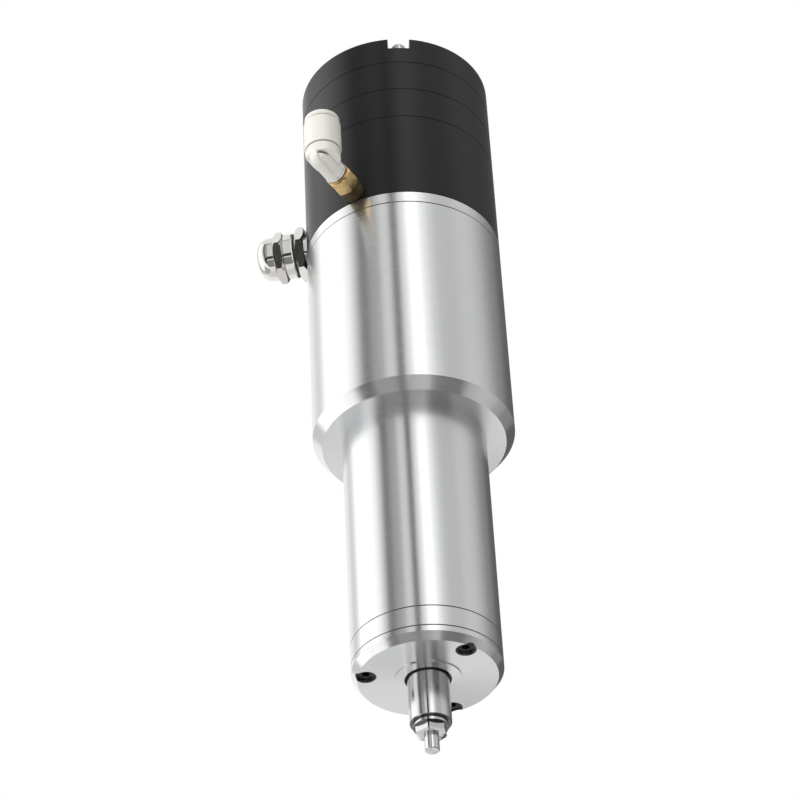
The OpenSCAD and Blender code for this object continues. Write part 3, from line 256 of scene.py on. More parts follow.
# %% [markdown]
# ## Turned metal
#
# Fine grooves round the axis blur each highlight along the axis and leave it sharp across, which is
# why a turned barrel shows upright bands of light. Modelling the grooves would take millions of
# faces. Anisotropy does the blurring, and a quarter turn points it along the axis. Noise that is
# stretched round the axis does the few marks that can be seen one by one. Where two turned pieces
# meet, the gap holds shade, and that shade is painted: the colour falls to a thin dark line at each
# seam's height.

# %% Seams and marks
QUARTER_TURN = 0.25
# Painted shade along the seams: its full width, the width over which it fades, and its colour.
SEAM_SHADE_CORE = 0.15 * MM
SEAM_SHADE_FADE = 0.32 * MM
SEAM_SHADE_COLOUR = (0.16, 0.16, 0.165, 1)
# The pin slides near the axis, so no seam is drawn there. Both are radii, squared.
CLEAR_SQUARED = (4.2 * MM) ** 2
DRAWN_SQUARED = 1.3 * CLEAR_SQUARED
COLLET_HEXAGON = 3.5 * MM
# Heights of the painted seam shade: where the turned pieces meet, at the shaft's tip and above the collet's
# hexagon.
TURNED_SEAMS = [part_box("housing")[0].z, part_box("housing")[1].z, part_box("front_cap")[1].z]
TIP_SEAMS = [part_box("shaft")[0].z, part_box("collet")[0].z + COLLET_HEXAGON]
# Broad marks are this much coarser than the fine ones, and the fine ones weigh more.
BROAD_SCALE = 0.12
FINE_SHARE = 0.6
FINE_ROUGH = 0.06
BROAD_ROUGH = 0.04
print("seams:", len(TURNED_SEAMS) + len(TIP_SEAMS))


# %% Make the turned metals


def seam_shade_mask(graph, seams):
    """1 at the height of a seam, falling to 0 beside it and near the axis."""
    x, y, height = split(graph, object_place(graph))
    outside = graph.ramp(x * x + y * y, CLEAR_SQUARED, DRAWN_SQUARED)
    away = abs(height - seams[0])
    for seam in seams[1:]:
        away = away.maths("MINIMUM", away, abs(height - seam))
    return outside * (1 - graph.ramp(away, SEAM_SHADE_CORE, SEAM_SHADE_FADE))


def turned_metal(name, light, dark, rough, stretch, groove, relief, swirl=8.0, seams=()):
    """Metal off the lathe. light and dark are its colours, groove and swirl the marks per metre
    along the profile and round the axis, relief their depth and seams the heights of dark lines.
    """
    settings = {"Metallic": 1.0, "Anisotropic": stretch, "Anisotropic Rotation": QUARTER_TURN}
    material, graph, shader = finish(name, settings)
    lathe = lathe_place(graph)
    fine = stretched_noise(graph, lathe, (groove, swirl, swirl))
    wide = (groove * BROAD_SCALE, swirl / 2, swirl / 2)
    broad = stretched_noise(graph, lathe, wide, detail=2.0)
    tone = graph.ramp(fine * FINE_SHARE + broad * (1 - FINE_SHARE), 0.2, 0.8)
    colour = graph.mix_colours(tone, (*dark, 1), (*light, 1))
    # Painted shade: the colour falls to a dark line at each seam's height.
    if seams:
        colour = graph.mix_colours(seam_shade_mask(graph, seams), colour, SEAM_SHADE_COLOUR)
    roughness = rough + (fine - 0.5) * FINE_ROUGH + (broad - 0.5) * BROAD_ROUGH
    feed(graph, shader, colour, roughness, fine, relief)
    return material


# A light and a dark tone for each metal.
ALUMINIUM = ((0.78, 0.785, 0.79), (0.745, 0.75, 0.755))
STEEL = ((0.72, 0.72, 0.725), (0.66, 0.66, 0.665))
CAST = ((0.62, 0.62, 0.63), (0.5, 0.5, 0.51))
CAGE = ((0.66, 0.46, 0.2), (0.52, 0.35, 0.14))

turned_aluminium = turned_metal(
    "turned_aluminium",
    *ALUMINIUM,
    rough=0.26,
    stretch=0.75,
    groove=2600,
    relief=1.2 * MICRON,
    seams=TURNED_SEAMS,
)
faced_aluminium = turned_metal(
    "faced_aluminium",
    *ALUMINIUM,
    rough=0.24,
    stretch=0.75,
    groove=2600,
    relief=1.2 * MICRON,
    seams=TURNED_SEAMS,
)
polished_steel = turned_metal(
    "polished_steel",
    *STEEL,
    rough=0.14,
    stretch=0.95,
    groove=3500,
    relief=0.8 * MICRON,
    seams=TIP_SEAMS,
)
collet_steel = turned_metal(
    "collet_steel",
    *STEEL,
    rough=0.18,
    stretch=0.3,
    groove=3000,
    relief=2 * MICRON,
    seams=TIP_SEAMS,
)
bearing_steel = turned_metal(
    "bearing_steel", *STEEL, rough=0.16, stretch=0.3, groove=3500, relief=MICRON
)
cast_aluminium = turned_metal(
    "cast_aluminium",
    *CAST,
    rough=0.36,
    stretch=0.4,
    groove=1500,
    relief=6 * MICRON,
    swirl=60.0,
)
cage_brass = turned_metal(
    "cage_brass", *CAGE, rough=0.3, stretch=0.3, groove=2000, relief=3 * MICRON
)
print("turned metals: 7")


# %% [markdown]
# ## Black anodised aluminium
#
# The release cylinder is dyed black after an acid bath has grown a thin glassy layer on it. The
# layer follows the turned metal below, so it is black with a soft sheen, faint rings and cloudy
# patches. Its two blacks are close together: any paler and the cylinder would look painted.

# %% Make the black finish
BLACK_DEEP = (0.0035, 0.0035, 0.004, 1)
BLACK_PALE = (0.0075, 0.0075, 0.0085, 1)
BLACK_ROUGH = 0.34
RING_SHARE = 0.4


def black_anodised_finish():
    settings = {
        "Specular IOR Level": 0.28,
        "Anisotropic": 0.5,
        "Anisotropic Rotation": QUARTER_TURN,
        "Sheen Weight": 0.12,
        "Sheen Roughness": 0.35,
    }
    material, graph, shader = finish("black_anodised", settings)
    lathe = lathe_place(graph)
    rings = stretched_noise(graph, lathe, (2200, 12, 12))
    clouds = stretched_noise(graph, object_place(graph), (26, 26, 18), detail=4.0)
    tone = graph.ramp(rings * RING_SHARE + clouds * (1 - RING_SHARE), 0.3, 0.7)
    colour = graph.mix_colours(tone, BLACK_DEEP, BLACK_PALE)
    roughness = BLACK_ROUGH + (rings - 0.5) * 0.10 + (clouds - 0.5) * 0.12
    feed(graph, shader, colour, roughness, rings, 3 * MICRON)
    return material


black_anodised = black_anodised_finish()
print("black finish ready")


# %% [markdown]
# ## Plated, oxidised and drawn metals
#
# The gland is nickel plated and polished, so it shows the studio almost like a mirror. Screws are
# blackened in hot salts, springs are drawn wire, and the brass stud is turned from bar. They differ
# in colour, in roughness and in how blotchy they are, so one recipe with those three serves.

# %% Make the small metals
GRAIN_FINER = 9


def blotchy_metal(name, light, dark, rough, spread, blotch, relief, metallic):
    """Metal with cloudy tone. blotch is the clouds per metre, spread how far roughness varies."""
    material, graph, shader = finish(name, {"Metallic": metallic})
    place = object_place(graph)
    clouds = stretched_noise(graph, place, (blotch, blotch, blotch), detail=4.0)
    grain = blotch * GRAIN_FINER
    fine = stretched_noise(graph, place, (grain, grain, grain))
    colour = graph.mix_colours(graph.ramp(clouds, 0.35, 0.65), (*dark, 1), (*light, 1))
    roughness = rough + (clouds - 0.5) * spread + (fine - 0.5) * (spread / 2)
    feed(graph, shader, colour, roughness, fine, relief)
    return material


# Name, light and dark tone, roughness and its spread, clouds per metre, relief and metallic.
SMALL_METALS = [
    ("nickel_plated", (0.74, 0.73, 0.70), (0.68, 0.67, 0.64), 0.09, 0.06, 120, MICRON, 1.0),
    ("brass_fitting", (0.74, 0.55, 0.28), (0.56, 0.39, 0.17), 0.15, 0.10, 320, 2 * MICRON, 1.0),
    ("zinc_screw", (0.72, 0.72, 0.68), (0.58, 0.57, 0.52), 0.2, 0.14, 300, 3 * MICRON, 1.0),
    ("black_oxide", (0.02, 0.02, 0.022), (0.008, 0.008, 0.009), 0.3, 0.2, 400, 4 * MICRON, 0.6),
    ("spring_steel", (0.34, 0.34, 0.37), (0.22, 0.22, 0.25), 0.28, 0.16, 350, 3 * MICRON, 1.0),
    ("stainless_spring", (0.62, 0.61, 0.6), (0.52, 0.51, 0.5), 0.22, 0.1, 350, 3 * MICRON, 1.0),
]
small_metals = {row[0]: blotchy_metal(*row) for row in SMALL_METALS}
print("small metals:", len(small_metals))


# %% [markdown]
# ## The motor's inside
#
# The cores are stacks of thin sheets, so they show fine lines at equal height. The coils are
# enamelled wire under resin. Neither is seen in the picture, but both show when the part is
# opened.

# %% Make the core and the winding
SHEET_HALF = 0.25 * MM
SHEET_EDGE = 0.08 * MM


def core_finish():
    material, graph, shader = finish("core_steel", {"Metallic": 0.8})
    height = split(graph, object_place(graph))[2]
    sheets = height.maths("PINGPONG", height, SHEET_HALF)
    line = graph.ramp(sheets, 0.0, SHEET_EDGE)
    colour = graph.mix_colours(line, (0.06, 0.06, 0.065, 1), (0.24, 0.25, 0.27, 1))
    feed(graph, shader, colour, 0.5 - 0.12 * line, line, 40 * MICRON)
    return material


def winding_finish():
    material, graph, shader = finish("copper_winding", {"Metallic": 0.7, "Coat Weight": 0.4})
    lathe = lathe_place(graph)
    wires = stretched_noise(graph, lathe, (1400, 30, 30), detail=2.0)
    colour = graph.mix_colours(wires, (0.20, 0.055, 0.02, 1), (0.62, 0.24, 0.09, 1))
    feed(graph, shader, colour, 0.3 + wires * 0.2, wires, 200 * MICRON)
    return material


core_steel = core_finish()
copper_winding = winding_finish()
print("motor finishes: 2")


# %% [markdown]
# ## Plastic and rubber
#
# The elbow is moulded in a creamy white plastic. It has the faint waviness and fine grain of a
# mould, which a bump gives without more faces. Shade gathers in its slots and is painted there. A
# mesh can carry a number for each corner, so the elbow's mesh will say how deep in a slot a corner
# lies, and the plastic's colour darkens there. The seals are black rubber with a bloom.

# %% Make the moulded finishes
SLOT_SHADE_NAME = "crease"
# Painted shade in the elbow's slots starts at the first depth and is full at the second.
SLOT_SHADE_FROM = 0.2
SLOT_SHADE_FULL = 0.9
WAVES_PER_METRE = 90


def moulded(name, light, dark, rough, grain, relief, crease=None):
    """A moulding. Its slot colour is painted shade, laid where a mesh says how deep a slot is."""
    material, graph, shader = finish(name, {})
    place = object_place(graph)
    waves = stretched_noise(graph, place, (WAVES_PER_METRE,) * 3, detail=2.0)
    grains = stretched_noise(graph, place, (grain, grain, grain), detail=4.0)
    colour = graph.mix_colours(graph.ramp(waves, 0.3, 0.7), (*dark, 1), (*light, 1))
    # Painted shade: the colour darkens where the mesh marks a slot.
    if crease:
        depth = graph.node("ShaderNodeAttribute", {"attribute_name": SLOT_SHADE_NAME}, output="Fac")
        mask = graph.ramp(depth, SLOT_SHADE_FROM, SLOT_SHADE_FULL)
        colour = graph.mix_colours(mask, colour, (*crease, 1))
    roughness = rough + (grains - 0.5) * 0.16 + (waves - 0.5) * 0.06
    feed(graph, shader, colour, roughness, grains, relief)
    return material


white_plastic = moulded(
    "white_plastic",
    light=(0.86, 0.845, 0.79),
    dark=(0.83, 0.81, 0.75),
    rough=0.34,
    grain=1800,
    relief=6 * MICRON,
    # The colour of the painted shade in the elbow's slots.
    crease=(0.30, 0.28, 0.23),
)
black_rubber = moulded(
    "black_rubber",
    light=(0.022, 0.022, 0.022),
    dark=(0.012, 0.012, 0.012),
    rough=0.6,
    grain=1500,
    relief=20 * MICRON,
)
clamp_plastic = moulded(
    "clamp_plastic",
    light=(0.06, 0.06, 0.06),
    dark=(0.04, 0.04, 0.04),
    rough=0.5,
    grain=1500,
    relief=20 * MICRON,
)
print("moulded finishes: 3")

# %% [markdown]
# ## Give every solid its finish
#
# The record names a material slot for each solid. The finishes above carry the slots' names, so the
# record itself says which solid takes which.

# %% Assign the finishes
FINISHES = {
    **small_metals,
    "turned_aluminium": turned_aluminium,
    "faced_aluminium": faced_aluminium,
    "black_anodised": black_anodised,
    "polished_steel": polished_steel,
    "collet_steel": collet_steel,
    "bearing_steel": bearing_steel,
    "cage_brass": cage_brass,
    "core_steel": core_steel,
    "copper_winding": copper_winding,
    "cast_aluminium": cast_aluminium,
    "black_rubber": black_rubber,
    "white_plastic": white_plastic,
    "clamp_plastic": clamp_plastic,
}
for part in frame["record"]["subparts"]:
    solid = nodes[part["node"]]
    solid.data.materials.clear()
    solid.data.materials.append(FINISHES[part["material_slot"]])

# %% [markdown]
# ## The air elbow
#
# The real elbow is one moulding: an upright tube on a round arm, with a wide band that bends from
# one into the other and a sunk panel beside it. Booleans and bevels could round a body of plain
# cylinders, but bevels fail where many curved edges meet. So the elbow is a distance field. Each
# point of a fine grid holds its distance from the surface, a soft minimum blends two forms like
# the fillet of a mould, and a mesh is laid where the distance is zero.


# %% Forms that blend
def joined(first, second, soft):
    """Two forms as one. soft is the size of the fillet between them."""
    share = np.clip(0.5 + 0.5 * (second - first) / soft, 0, 1)
    return second * (1 - share) + first * share - soft * share * (1 - share)


def shared(first, second, soft):
    """What two forms have in common. soft is the size of its rounded edge."""
    return -joined(-first, -second, soft)


def rod(distance, radius, along, first, last, soft=0.2):
    """A cylinder between two places on its axis."""
    return shared(distance - radius, abs(along - (first + last) / 2) - (last - first) / 2, soft)


def field_mesh(field):
    """Corners and quads of the surface where a field crosses zero, in grid steps."""
    total = np.zeros([n - 1 for n in field.shape] + [3])
    count = np.zeros([n - 1 for n in field.shape])
    edges = []
    for axis in range(3):
        near = [slice(None)] * 3
        far = [slice(None)] * 3
        near[axis] = slice(0, -1)
        far[axis] = slice(1, None)
        low, high = field[tuple(near)], field[tuple(far)]
        crossed = (low < 0) != (high < 0)
        start = np.argwhere(crossed)
        point = start.astype(float)
        point[:, axis] += low[crossed] / (low[crossed] - high[crossed])
        cells = []
        for back_1, back_2 in ((1, 1), (0, 1), (0, 0), (1, 0)):
            cell = start.copy()
            cell[:, (axis + 1) % 3] -= back_1
            cell[:, (axis + 2) % 3] -= back_2
            np.add.at(total, tuple(cell.T), point)
            np.add.at(count, tuple(cell.T), 1)
            cells.append(cell)
        edges.append((cells, low[crossed] < 0))
    used = count > 0
    number = np.full(count.shape, -1)
    number[used] = np.arange(used.sum())
    corners = total[used] / count[used][:, None]
    quads = []
    for cells, outward in edges:
        ring = np.stack([number[tuple(cell.T)] for cell in cells], axis=1)
        ring[~outward] = ring[~outward][:, ::-1]
        quads.append(ring)
    return corners, np.concatenate(quads)


print("field tools ready")

# %% [markdown]
# The elbow's own axes are easy to think in: x runs in along the arm to the spindle, y to the left
# and z up, and zero is where the arm's axis meets the tube's. The swivel joint sits at the arm's
# inner end, so zero lies one arm's length further out.

# %% The elbow's sizes
# Lengths are in millimetres and places are on the elbow's own axes.
ELBOW_STEP = 0.22
SLOT_SHADE_REACH = 0.8
# The arm's round outside, its sunk core with a slot below the root ring, and its rims.
ARM_END = 10.6
ARM_R = 5.25
ARM_ROUND = 5.0
BAND_EDGE = -1.1
CORE_R = 4.3
CORE_END = 6.4
CORE_ROUND = 3.0
SLOT_FLOOR = 4.4
SLOT_MIDDLE = -1.2
SLOT_HALF = 0.45
RIM_R = 5.0
RIM_LOW = -0.5
LIP_R = 4.8
LIP_LEN = 0.6
# The root ring, the groove above it and the collar round the tube.
ROOT_R = 7.7
ROOT_BOTTOM = -0.8
GROOVE_R = 7.25
GROOVE_LOW = 4.1
COLLAR_R = 8.2
COLLAR_LOW = 4.5
COLLAR_TOP = 19.9
COLLAR_ROUND = 0.9
# The facet that trims the root ring: how far it faces left and down, and how far out it lies.
FACET_LEFT = 0.856
FACET_DOWN = 0.517
FACET_OUT = 5.4
# The bores: air, tube, cartridge, sleeve and the stud's spigot. CUT lets a bore break through.
CUT = 1
AIR_R = 2.3
TUBE_R = 4.05
CARTRIDGE_R = 6.05
CARTRIDGE_LOW = 7.4
CARTRIDGE_TOP = 11.4
SLEEVE_BORE_R = 5.25
SPIGOT_R = 3.65
SPIGOT_LEN = 5.6
print("elbow height in mm:", COLLAR_TOP + ARM_R)


# %% The elbow's form


def elbow_field(x, y, z):
    """How far each point lies outside the elbow."""
    upright = np.hypot(x, y)
    sideways = np.hypot(y, z)
    end = np.hypot(np.minimum(x, 0), y)
    arm = shared(sideways - ARM_R, end - (ROOT_R - 0.05), ARM_ROUND)
    band = shared(shared(arm, BAND_EDGE - y, 0.35), x - ARM_END, 0.3)
    core = shared(sideways - CORE_R, end - CORE_END, CORE_ROUND)
    slot = np.maximum(abs(z - SLOT_MIDDLE) - SLOT_HALF, SLOT_FLOOR - end)
    core = shared(shared(core, -slot, 0.2), x - ARM_END, 0.3)
    rim = np.maximum(rod(sideways, RIM_R, x, 0, ARM_END, 0.3), np.maximum(RIM_LOW - z, y))
    lip = rod(sideways, LIP_R, x, ARM_END - LIP_LEN, ARM_END, 0.2)
    facet = FACET_LEFT * y - FACET_DOWN * z - FACET_OUT
    root = shared(rod(upright, ROOT_R, z, ROOT_BOTTOM, GROOVE_LOW, 0.5), facet, 0.8)
    groove = rod(upright, GROOVE_R, z, ROOT_BOTTOM + 1, COLLAR_LOW + 1, 0.1)
    groove = np.maximum(groove, facet)
    collar = rod(upright, COLLAR_R, z, COLLAR_LOW, COLLAR_TOP, COLLAR_ROUND)
    body = joined(root, band, 0.7)
    for form, soft in ((core, 0.15), (rim, 0.15), (lip, 0.1), (groove, 0.05), (collar, 0.1)):
        body = joined(body, form, soft)
    bores = [
        rod(sideways, AIR_R, x, 0, ARM_END + CUT),
        rod(sideways, SPIGOT_R, x, ARM_END - SPIGOT_LEN, ARM_END + CUT),
        rod(upright, AIR_R, z, 0, CARTRIDGE_LOW + 0.3),
        rod(upright, TUBE_R, z, CARTRIDGE_LOW - 1.4, CARTRIDGE_LOW + 0.3),
        rod(upright, CARTRIDGE_R, z, CARTRIDGE_LOW, CARTRIDGE_TOP),
        rod(upright, SLEEVE_BORE_R, z, CARTRIDGE_LOW, COLLAR_TOP + CUT),
    ]
    for bore in bores:
        body = np.maximum(body, -bore)
    return body


print("elbow form ready")


# %% Lay the elbow's surface
def mesh_object(name, corners, faces, material):
    """A smooth object from corners in metres."""
    mesh = bpy.data.meshes.new(name)
    mesh.from_pydata([tuple(corner) for corner in corners], [], [tuple(face) for face in faces])
    mesh.materials.append(material)
    mesh.shade_smooth()
    made = bpy.data.objects.new(name, mesh)
    bpy.context.scene.collection.objects.link(made)
    return made


# The depth stored here is the mask for the painted shade in the elbow's slots.
def mark_slot_shade(made, places, axes, field, reach):
    """Stores how deep in a slot each corner lies: 0 where the way out is clear, 1 if it is shut."""
    normals = np.array([normal.vector for normal in made.data.vertex_normals]) @ axes.T
    clear = field(*(places + normals * reach).T)
    marks = made.data.attributes.new(SLOT_SHADE_NAME, "FLOAT", "POINT")
    marks.data.foreach_set("value", np.clip(1 - clear / reach, 0, 1))


swivel = next(joint for joint in frame["joints"] if joint["name"] == "elbow_swivel")
inward = -Vector(swivel["axis"])
leftward = Vector((0, 0, 1)).cross(inward)
elbow_axes = np.array([inward, leftward, (0, 0, 1)])
elbow_centre = Vector(swivel["pos_m"]) - inward * ARM_END * MM
# The grid reaches a little past the elbow on every side.
low_corner = np.array([-9.0, -9.0, -6.4])
high_corner = np.array([ARM_END + 0.7, 9.0, COLLAR_TOP + 0.7])
sides = [np.arange(low, high, ELBOW_STEP) for low, high in zip(low_corner, high_corner)]
corners, quads = field_mesh(elbow_field(*np.meshgrid(*sides, indexing="ij")))
places = low_corner + corners * ELBOW_STEP
corners = places * MM @ elbow_axes + np.array(elbow_centre)
elbow = mesh_object("moulded_elbow", corners, quads.tolist(), white_plastic)
mark_slot_shade(elbow, places, elbow_axes, elbow_field, SLOT_SHADE_REACH)
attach(elbow, "elbow")
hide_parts("elbow_body")
print("elbow corners:", len(corners))

# %% [markdown]
# ## The stud's thread
#
# The brass stud is screwed into the cylinder up to a short neck, whose thread lies in shade. That
# shade is painted: the grooves take a dark colour, and only the crests keep bare brass and shine. A
# bump would stay flat at the outline, so the thread is a real helix: a tube whose radius rises and
# falls with the angle.

# %% The thread's sizes and finish
# Plain lengths are in millimetres. The steps round and the rows along are counts.
THREAD_PITCH = 0.9
THREAD_ROOT = 4.84
THREAD_CREST = 5.08
THREAD_STEPS = 48
THREAD_ROWS = 54
NECK_LEN = 6.05
NECK_SUNK = 0.3
# Brass shows from the first radius and is bare at the second.
BRASS_FROM = 5.00 * MM
BRASS_BARE = 5.07 * MM
SPECK_DEPTH = 0.12 * MM
# Painted shade: the dark colour that the thread's grooves take.
THREAD_SHADE = (0.018, 0.012, 0.008, 1)
BARE_BRASS = (0.70, 0.50, 0.22, 1)


def painted_shade_thread_finish():
    """Painted shade in the grooves, bare brass on the crests."""
    material, graph, shader = finish("painted_shade_thread", {"Metallic": 0.9})
    place = object_place(graph)
    on_axis = swivel["pos_m"]
    kind = "ShaderNodeVectorMath"
    away = graph.node(kind, {"operation": "SUBTRACT"}, {0: place, 1: on_axis})
    across = graph.node(kind, {"operation": "CROSS_PRODUCT"}, {0: away, 1: tuple(inward)})
    radius = graph.node(kind, {"operation": "LENGTH"}, {0: across}, output="Value")
    specks = stretched_noise(graph, place, (900, 900, 900))
    bare = graph.ramp(radius + (specks - 0.5) * SPECK_DEPTH, BRASS_FROM, BRASS_BARE)
    colour = graph.mix_colours(bare, THREAD_SHADE, BARE_BRASS)
    feed(graph, shader, colour, 0.32 - 0.12 * bare)
    return material


painted_shade_thread = painted_shade_thread_finish()
print("thread finish ready")


# %% Lay the thread
def thread_corners(first, last):
    """Corners of a helix between two places on the arm's axis, in millimetres."""
    rows = []
    for row in range(THREAD_ROWS + 1):
        along = first + (last - first) * row / THREAD_ROWS
        for step in range(THREAD_STEPS):
            share = step / THREAD_STEPS
            rise = abs(((along / THREAD_PITCH + share) % 1) * 2 - 1)
            radius = THREAD_ROOT + (THREAD_CREST - THREAD_ROOT) * rise
            angle = 2 * math.pi * share
            rows.append((along, radius * math.cos(angle), radius * math.sin(angle)))
    return rows


barrel_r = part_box("rear_housing")[1].x / MM
neck_end = elbow_centre.xy.length / MM - barrel_r
rows = thread_corners(neck_end - NECK_LEN, neck_end + NECK_SUNK)
faces = []
for row in range(THREAD_ROWS):
    near = row * THREAD_STEPS
    far = near + THREAD_STEPS
    for step in range(THREAD_STEPS):
        after = (step + 1) % THREAD_STEPS
        faces.append((near + step, near + after, far + after, far + step))
faces.append(tuple(range(THREAD_STEPS))[::-1])
faces.append(tuple(range(THREAD_ROWS * THREAD_STEPS, (THREAD_ROWS + 1) * THREAD_STEPS)))
corners = np.array(rows) * MM @ elbow_axes + np.array(elbow_centre)
thread = mesh_object("stud_thread", corners, faces, painted_shade_thread)
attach(thread, "root")
print("thread from", round(neck_end - NECK_LEN, 2), "to", round(neck_end, 2), "mm along the arm")

# %% [markdown]
# ## The return spring
#
# The spring that lifts the pistons is squeezed while they travel, and a stiff solid would cut into
# the end plate. A copy of its coils, with a mesh of its own, stands in for it on the root body.

# %% Copy the spring
coils = nodes["return_spring"]
spring = bpy.data.objects.new("squeezed_spring", coils.data.copy())
spring.matrix_world = coils.matrix_world
bpy.context.scene.collection.objects.link(spring)
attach(spring, "root")
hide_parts("return_spring")
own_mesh(spring)

# %% [markdown]
# ## The studio
#
# The object hangs in front of white. The floor is a plain pale sheet far below it. The world is
# white where the camera, a mirror or glass looks at it, and a soft grey light for everything else.

# %% Floor and world
# The floor's height and size are in metres.
FLOOR_Z = -0.95
FLOOR_SIZE = 12.0
AMBIENT = 0.48


def flat_sheet(name, width, depth):
    """A rectangle in the XY plane, centred on the origin."""
    mesh = bpy.data.meshes.new(name)
    x, y = width / 2, depth / 2
    mesh.from_pydata([(-x, -y, 0), (x, -y, 0), (x, y, 0), (-x, y, 0)], [], [(0, 1, 2, 3)])
    sheet = bpy.data.objects.new(name, mesh)
    bpy.context.scene.collection.objects.link(sheet)
    return sheet


floor = flat_sheet("floor", FLOOR_SIZE, FLOOR_SIZE)
floor.location.z = FLOOR_Z
floor_paint, floor_graph, floor_shader = finish("floor_paint", {"Roughness": 0.7})
floor_clouds = stretched_noise(floor_graph, object_place(floor_graph), (3, 3, 3))
floor_colour = floor_graph.mix_colours(floor_clouds, (0.86, 0.86, 0.86, 1), (0.9, 0.9, 0.9, 1))
feed(floor_graph, floor_shader, floor_colour)
floor.data.materials.append(floor_paint)

world = bpy.data.worlds.new("studio")
bpy.context.scene.world = world
world.use_nodes = True
sky = Graph(world.node_tree)
rays = sky.node("ShaderNodeLightPath").socket.node.outputs
seen = Value(sky, rays["Is Camera Ray"]) + Value(sky, rays["Is Glossy Ray"])
seen = seen.maths("MINIMUM", seen + Value(sky, rays["Is Transmission Ray"]), 1.0)
white = sky.node("ShaderNodeBackground", None, {"Color": (1, 1, 1, 1), "Strength": 1.0})
soft = sky.node("ShaderNodeBackground", None, {"Color": (1, 1, 1, 1), "Strength": AMBIENT})
sky.node(
    "ShaderNodeOutputWorld",
    None,
    {0: sky.node("ShaderNodeMixShader", None, {0: seen, 1: soft, 2: white})},
)
bpy.context.scene.view_settings.view_transform = "Standard"
print("floor at", FLOOR_Z, "m")

# %% [markdown]
# ## Boards for the metal
#
# Metal is lit by what it mirrors. A photographer sets white and grey boards round a turned part,
# and their edges draw the upright bands on it. Lamps alone give a barrel one hot line. So a ring
# of boards stands round the spindle, and more lie on the floor for the bevels and faces that look
# down. Each runs between two compass angles with its own brightness, and only mirror-like rays
# see it.

# %% The angles of the boards
# Lengths are in metres and angles in degrees.
BOARD_RADIUS = 1.6
BOARD_TOP = 2.6
BOARD_LIFT = 0.01
BOARD_STEP = 3.0
# Name, first and last angle from the camera's side towards the picture's left, and brightness.
UPRIGHT_BOARDS = [
    ("rear_right", -180, -132, 0.12),
    ("side_right", -132, -112, 0.27),
    ("front_right", -112, -100, 0.42),
    ("right_edge", -100, -88, 0.60),
    ("right_grey", -88, -64, 0.69),
    ("right_pale", -64, -36, 0.60),
    ("right_shade", -36, -28, 0.76),
    ("strip_edge", -28, -20, 1.05),
    ("front_strip", -20, -4, 1.50),
    ("front_edge", -4, 5, 0.92),
    ("dark_gap", 5, 14, 0.05),
    ("centre_shade", 14, 27, 0.82),
    ("slit", 27, 36, 0.44),
    ("left_shade", 36, 44, 0.40),
    ("left_dark", 44, 56, 0.14),
    ("left_edge", 56, 65, 0.75),
    ("softbox_edge", 65, 78, 1.25),
    ("softbox", 78, 118, 1.50),
    ("softbox_gap", 118, 138, 0.70),
    ("rear_left", 138, 180, 1.08),
]
FLOOR_BOARDS = [
    ("floor_rear_right", -180, -140, 0.82),
    ("floor_right", -140, -60, 0.22),
    ("floor_left", 62, 88, 1.25),
    ("floor_side_left", 88, 140, 0.50),
    ("floor_rear_left", 140, 180, 0.82),
]
FLOOR_INNER = 0.35
# The front of the floor has three rings. The bevels mirror the inner one, the shoulder and the
# cap mirror the dark one, and the shaft mirrors the outer one by way of the cap.
FRONT_INNER = [("floor_near_right", -60, -11, 0.18), ("floor_near_left", -11, 62, 0.28)]
FRONT_DARK = [
    ("floor_dark_right", -60, -24, 0.10),
    ("floor_dark_strip", -24, 5, 0.50),
    ("floor_dark_gap", 5, 14, 0.03),
    ("floor_dark_shade", 14, 42, 0.28),
    ("floor_dark_left", 42, 62, 0.05),
]
FRONT_OUTER = [
    ("floor_far_right", -60, -24, 0.35),
    ("floor_far_strip", -24, 5, 1.50),
    ("floor_far_gap", 5, 14, 0.05),
    ("floor_far_shade", 14, 42, 0.95),
    ("floor_far_left", 42, 62, 0.10),
]
DARK_INNER = 1.12
DARK_OUTER = 1.32
# A pale card on the dark floor in front, and a dark skirt below the front boards.
CARD = ("floor_card", -27, -11, 0.75)
CARD_INNER = 0.55
CARD_OUTER = 0.90
SKIRT = ("front_skirt", -60, 62, 0.05)
SKIRT_RADIUS = 1.58
SKIRT_TOP = -0.45
CENTRE = ("floor_centre", -180, 180, 1.0)
print("upright boards:", len(UPRIGHT_BOARDS))


# %% Set the boards


def glow(name, brightness):
    """A finish that shines evenly."""
    material = bpy.data.materials.new(name)
    material.use_nodes = True
    graph = Graph(material.node_tree)
    light = graph.node("ShaderNodeEmission", None, {"Strength": brightness})
    graph.node("ShaderNodeOutputMaterial", None, {0: light})
    return material


def board(name, first, last, brightness, inner, outer):
    """A strip between two angles. inner and outer are the radius and height of its two edges."""
    count = max(1, round((last - first) / BOARD_STEP))
    corners = []
    for i in range(count + 1):
        angle = math.radians(first + (last - first) * i / count)
        for radius, height in (inner, outer):
            corners.append((-radius * math.sin(angle), -radius * math.cos(angle), height))
    faces = [(2 * i, 2 * i + 2, 2 * i + 3, 2 * i + 1) for i in range(count)]
    mesh = bpy.data.meshes.new(name)
    mesh.from_pydata(corners, [], faces)
    mesh.materials.append(glow(name, brightness))
    strip = bpy.data.objects.new(name, mesh)
    bpy.context.scene.collection.objects.link(strip)
    for ray in ("camera", "diffuse", "transmission", "volume_scatter", "shadow"):
        setattr(strip, f"visible_{ray}", False)
    return strip


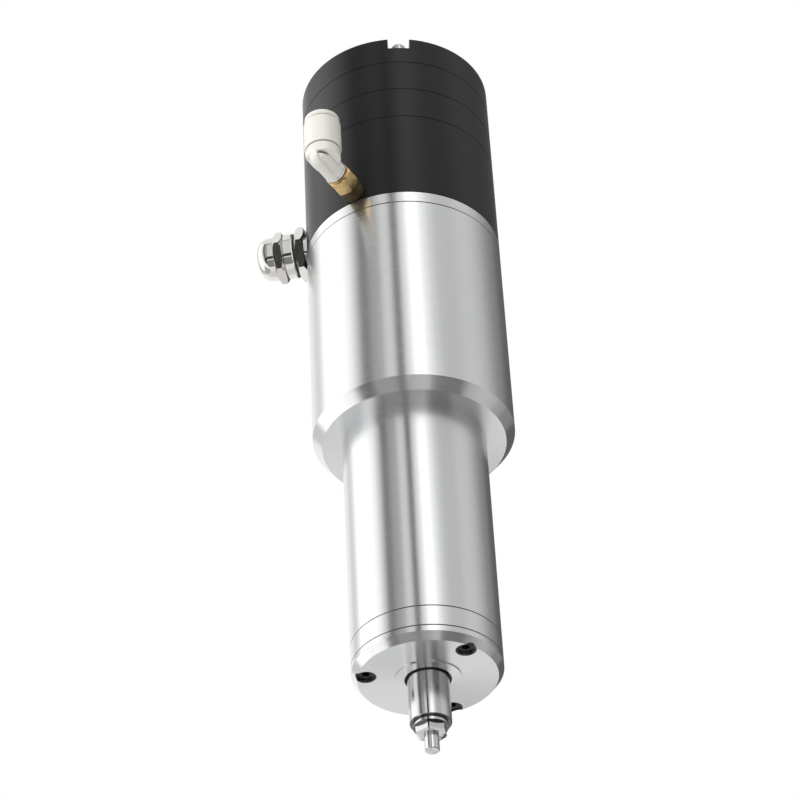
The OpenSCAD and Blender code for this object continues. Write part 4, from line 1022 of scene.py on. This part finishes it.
lifted = FLOOR_Z + BOARD_LIFT
for row in UPRIGHT_BOARDS:
    board(*row, (BOARD_RADIUS, lifted), (BOARD_RADIUS, BOARD_TOP))
for row in FLOOR_BOARDS:
    board(*row, (FLOOR_INNER, lifted), (BOARD_RADIUS, lifted))
for row in FRONT_INNER:
    board(*row, (FLOOR_INNER, lifted), (DARK_INNER, lifted))
for row in FRONT_DARK:
    board(*row, (DARK_INNER, lifted), (DARK_OUTER, lifted))
for row in FRONT_OUTER:
    board(*row, (DARK_OUTER, lifted), (BOARD_RADIUS, lifted))
board(*CENTRE, (0, lifted), (FLOOR_INNER, lifted))
board(*CARD, (CARD_INNER, lifted + BOARD_LIFT), (CARD_OUTER, lifted + BOARD_LIFT))
board(*SKIRT, (SKIRT_RADIUS, lifted), (SKIRT_RADIUS, SKIRT_TOP))
rings = FRONT_INNER + FRONT_DARK + FRONT_OUTER
print("boards:", len(UPRIGHT_BOARDS) + len(FLOOR_BOARDS) + len(rings) + 3)

# %% [markdown]
# ## Lamps
#
# Matt surfaces, such as the plastic elbow and the black cylinder, need light rather than a mirror
# image. Large area lamps give soft shade: a key from the left, a weaker fill from the right, a
# low one for the faces that look down and one behind for the far side. They stay out of
# mirror-like rays, where the boards rule.

# %% Set the lamps
# Name, place, size and power in watts. Every lamp points at the middle of the spindle.
LAMPS = [
    ("key", (-1.3, -1.1, 0.3), 1.2, 18.0),
    ("fill", (1.4, -0.9, 0.2), 1.2, 2.5),
    ("low", (-0.9, -0.7, -0.85), 0.8, 2.6),
    ("back", (0.3, 1.5, 0.9), 1.2, 12.0),
]
AIM = Vector((0, 0, 0.03))


def lamp(name, place, size, power):
    data = bpy.data.lights.new(name, "AREA")
    data.shape = "SQUARE"
    data.size = size
    data.energy = power
    made = bpy.data.objects.new(name, data)
    made.location = place
    made.rotation_euler = (AIM - Vector(place)).to_track_quat("-Z", "Y").to_euler()
    made.visible_glossy = False
    made.visible_camera = False
    bpy.context.scene.collection.objects.link(made)
    return made


for row in LAMPS:
    lamp(*row)
print("lamps:", len(LAMPS))
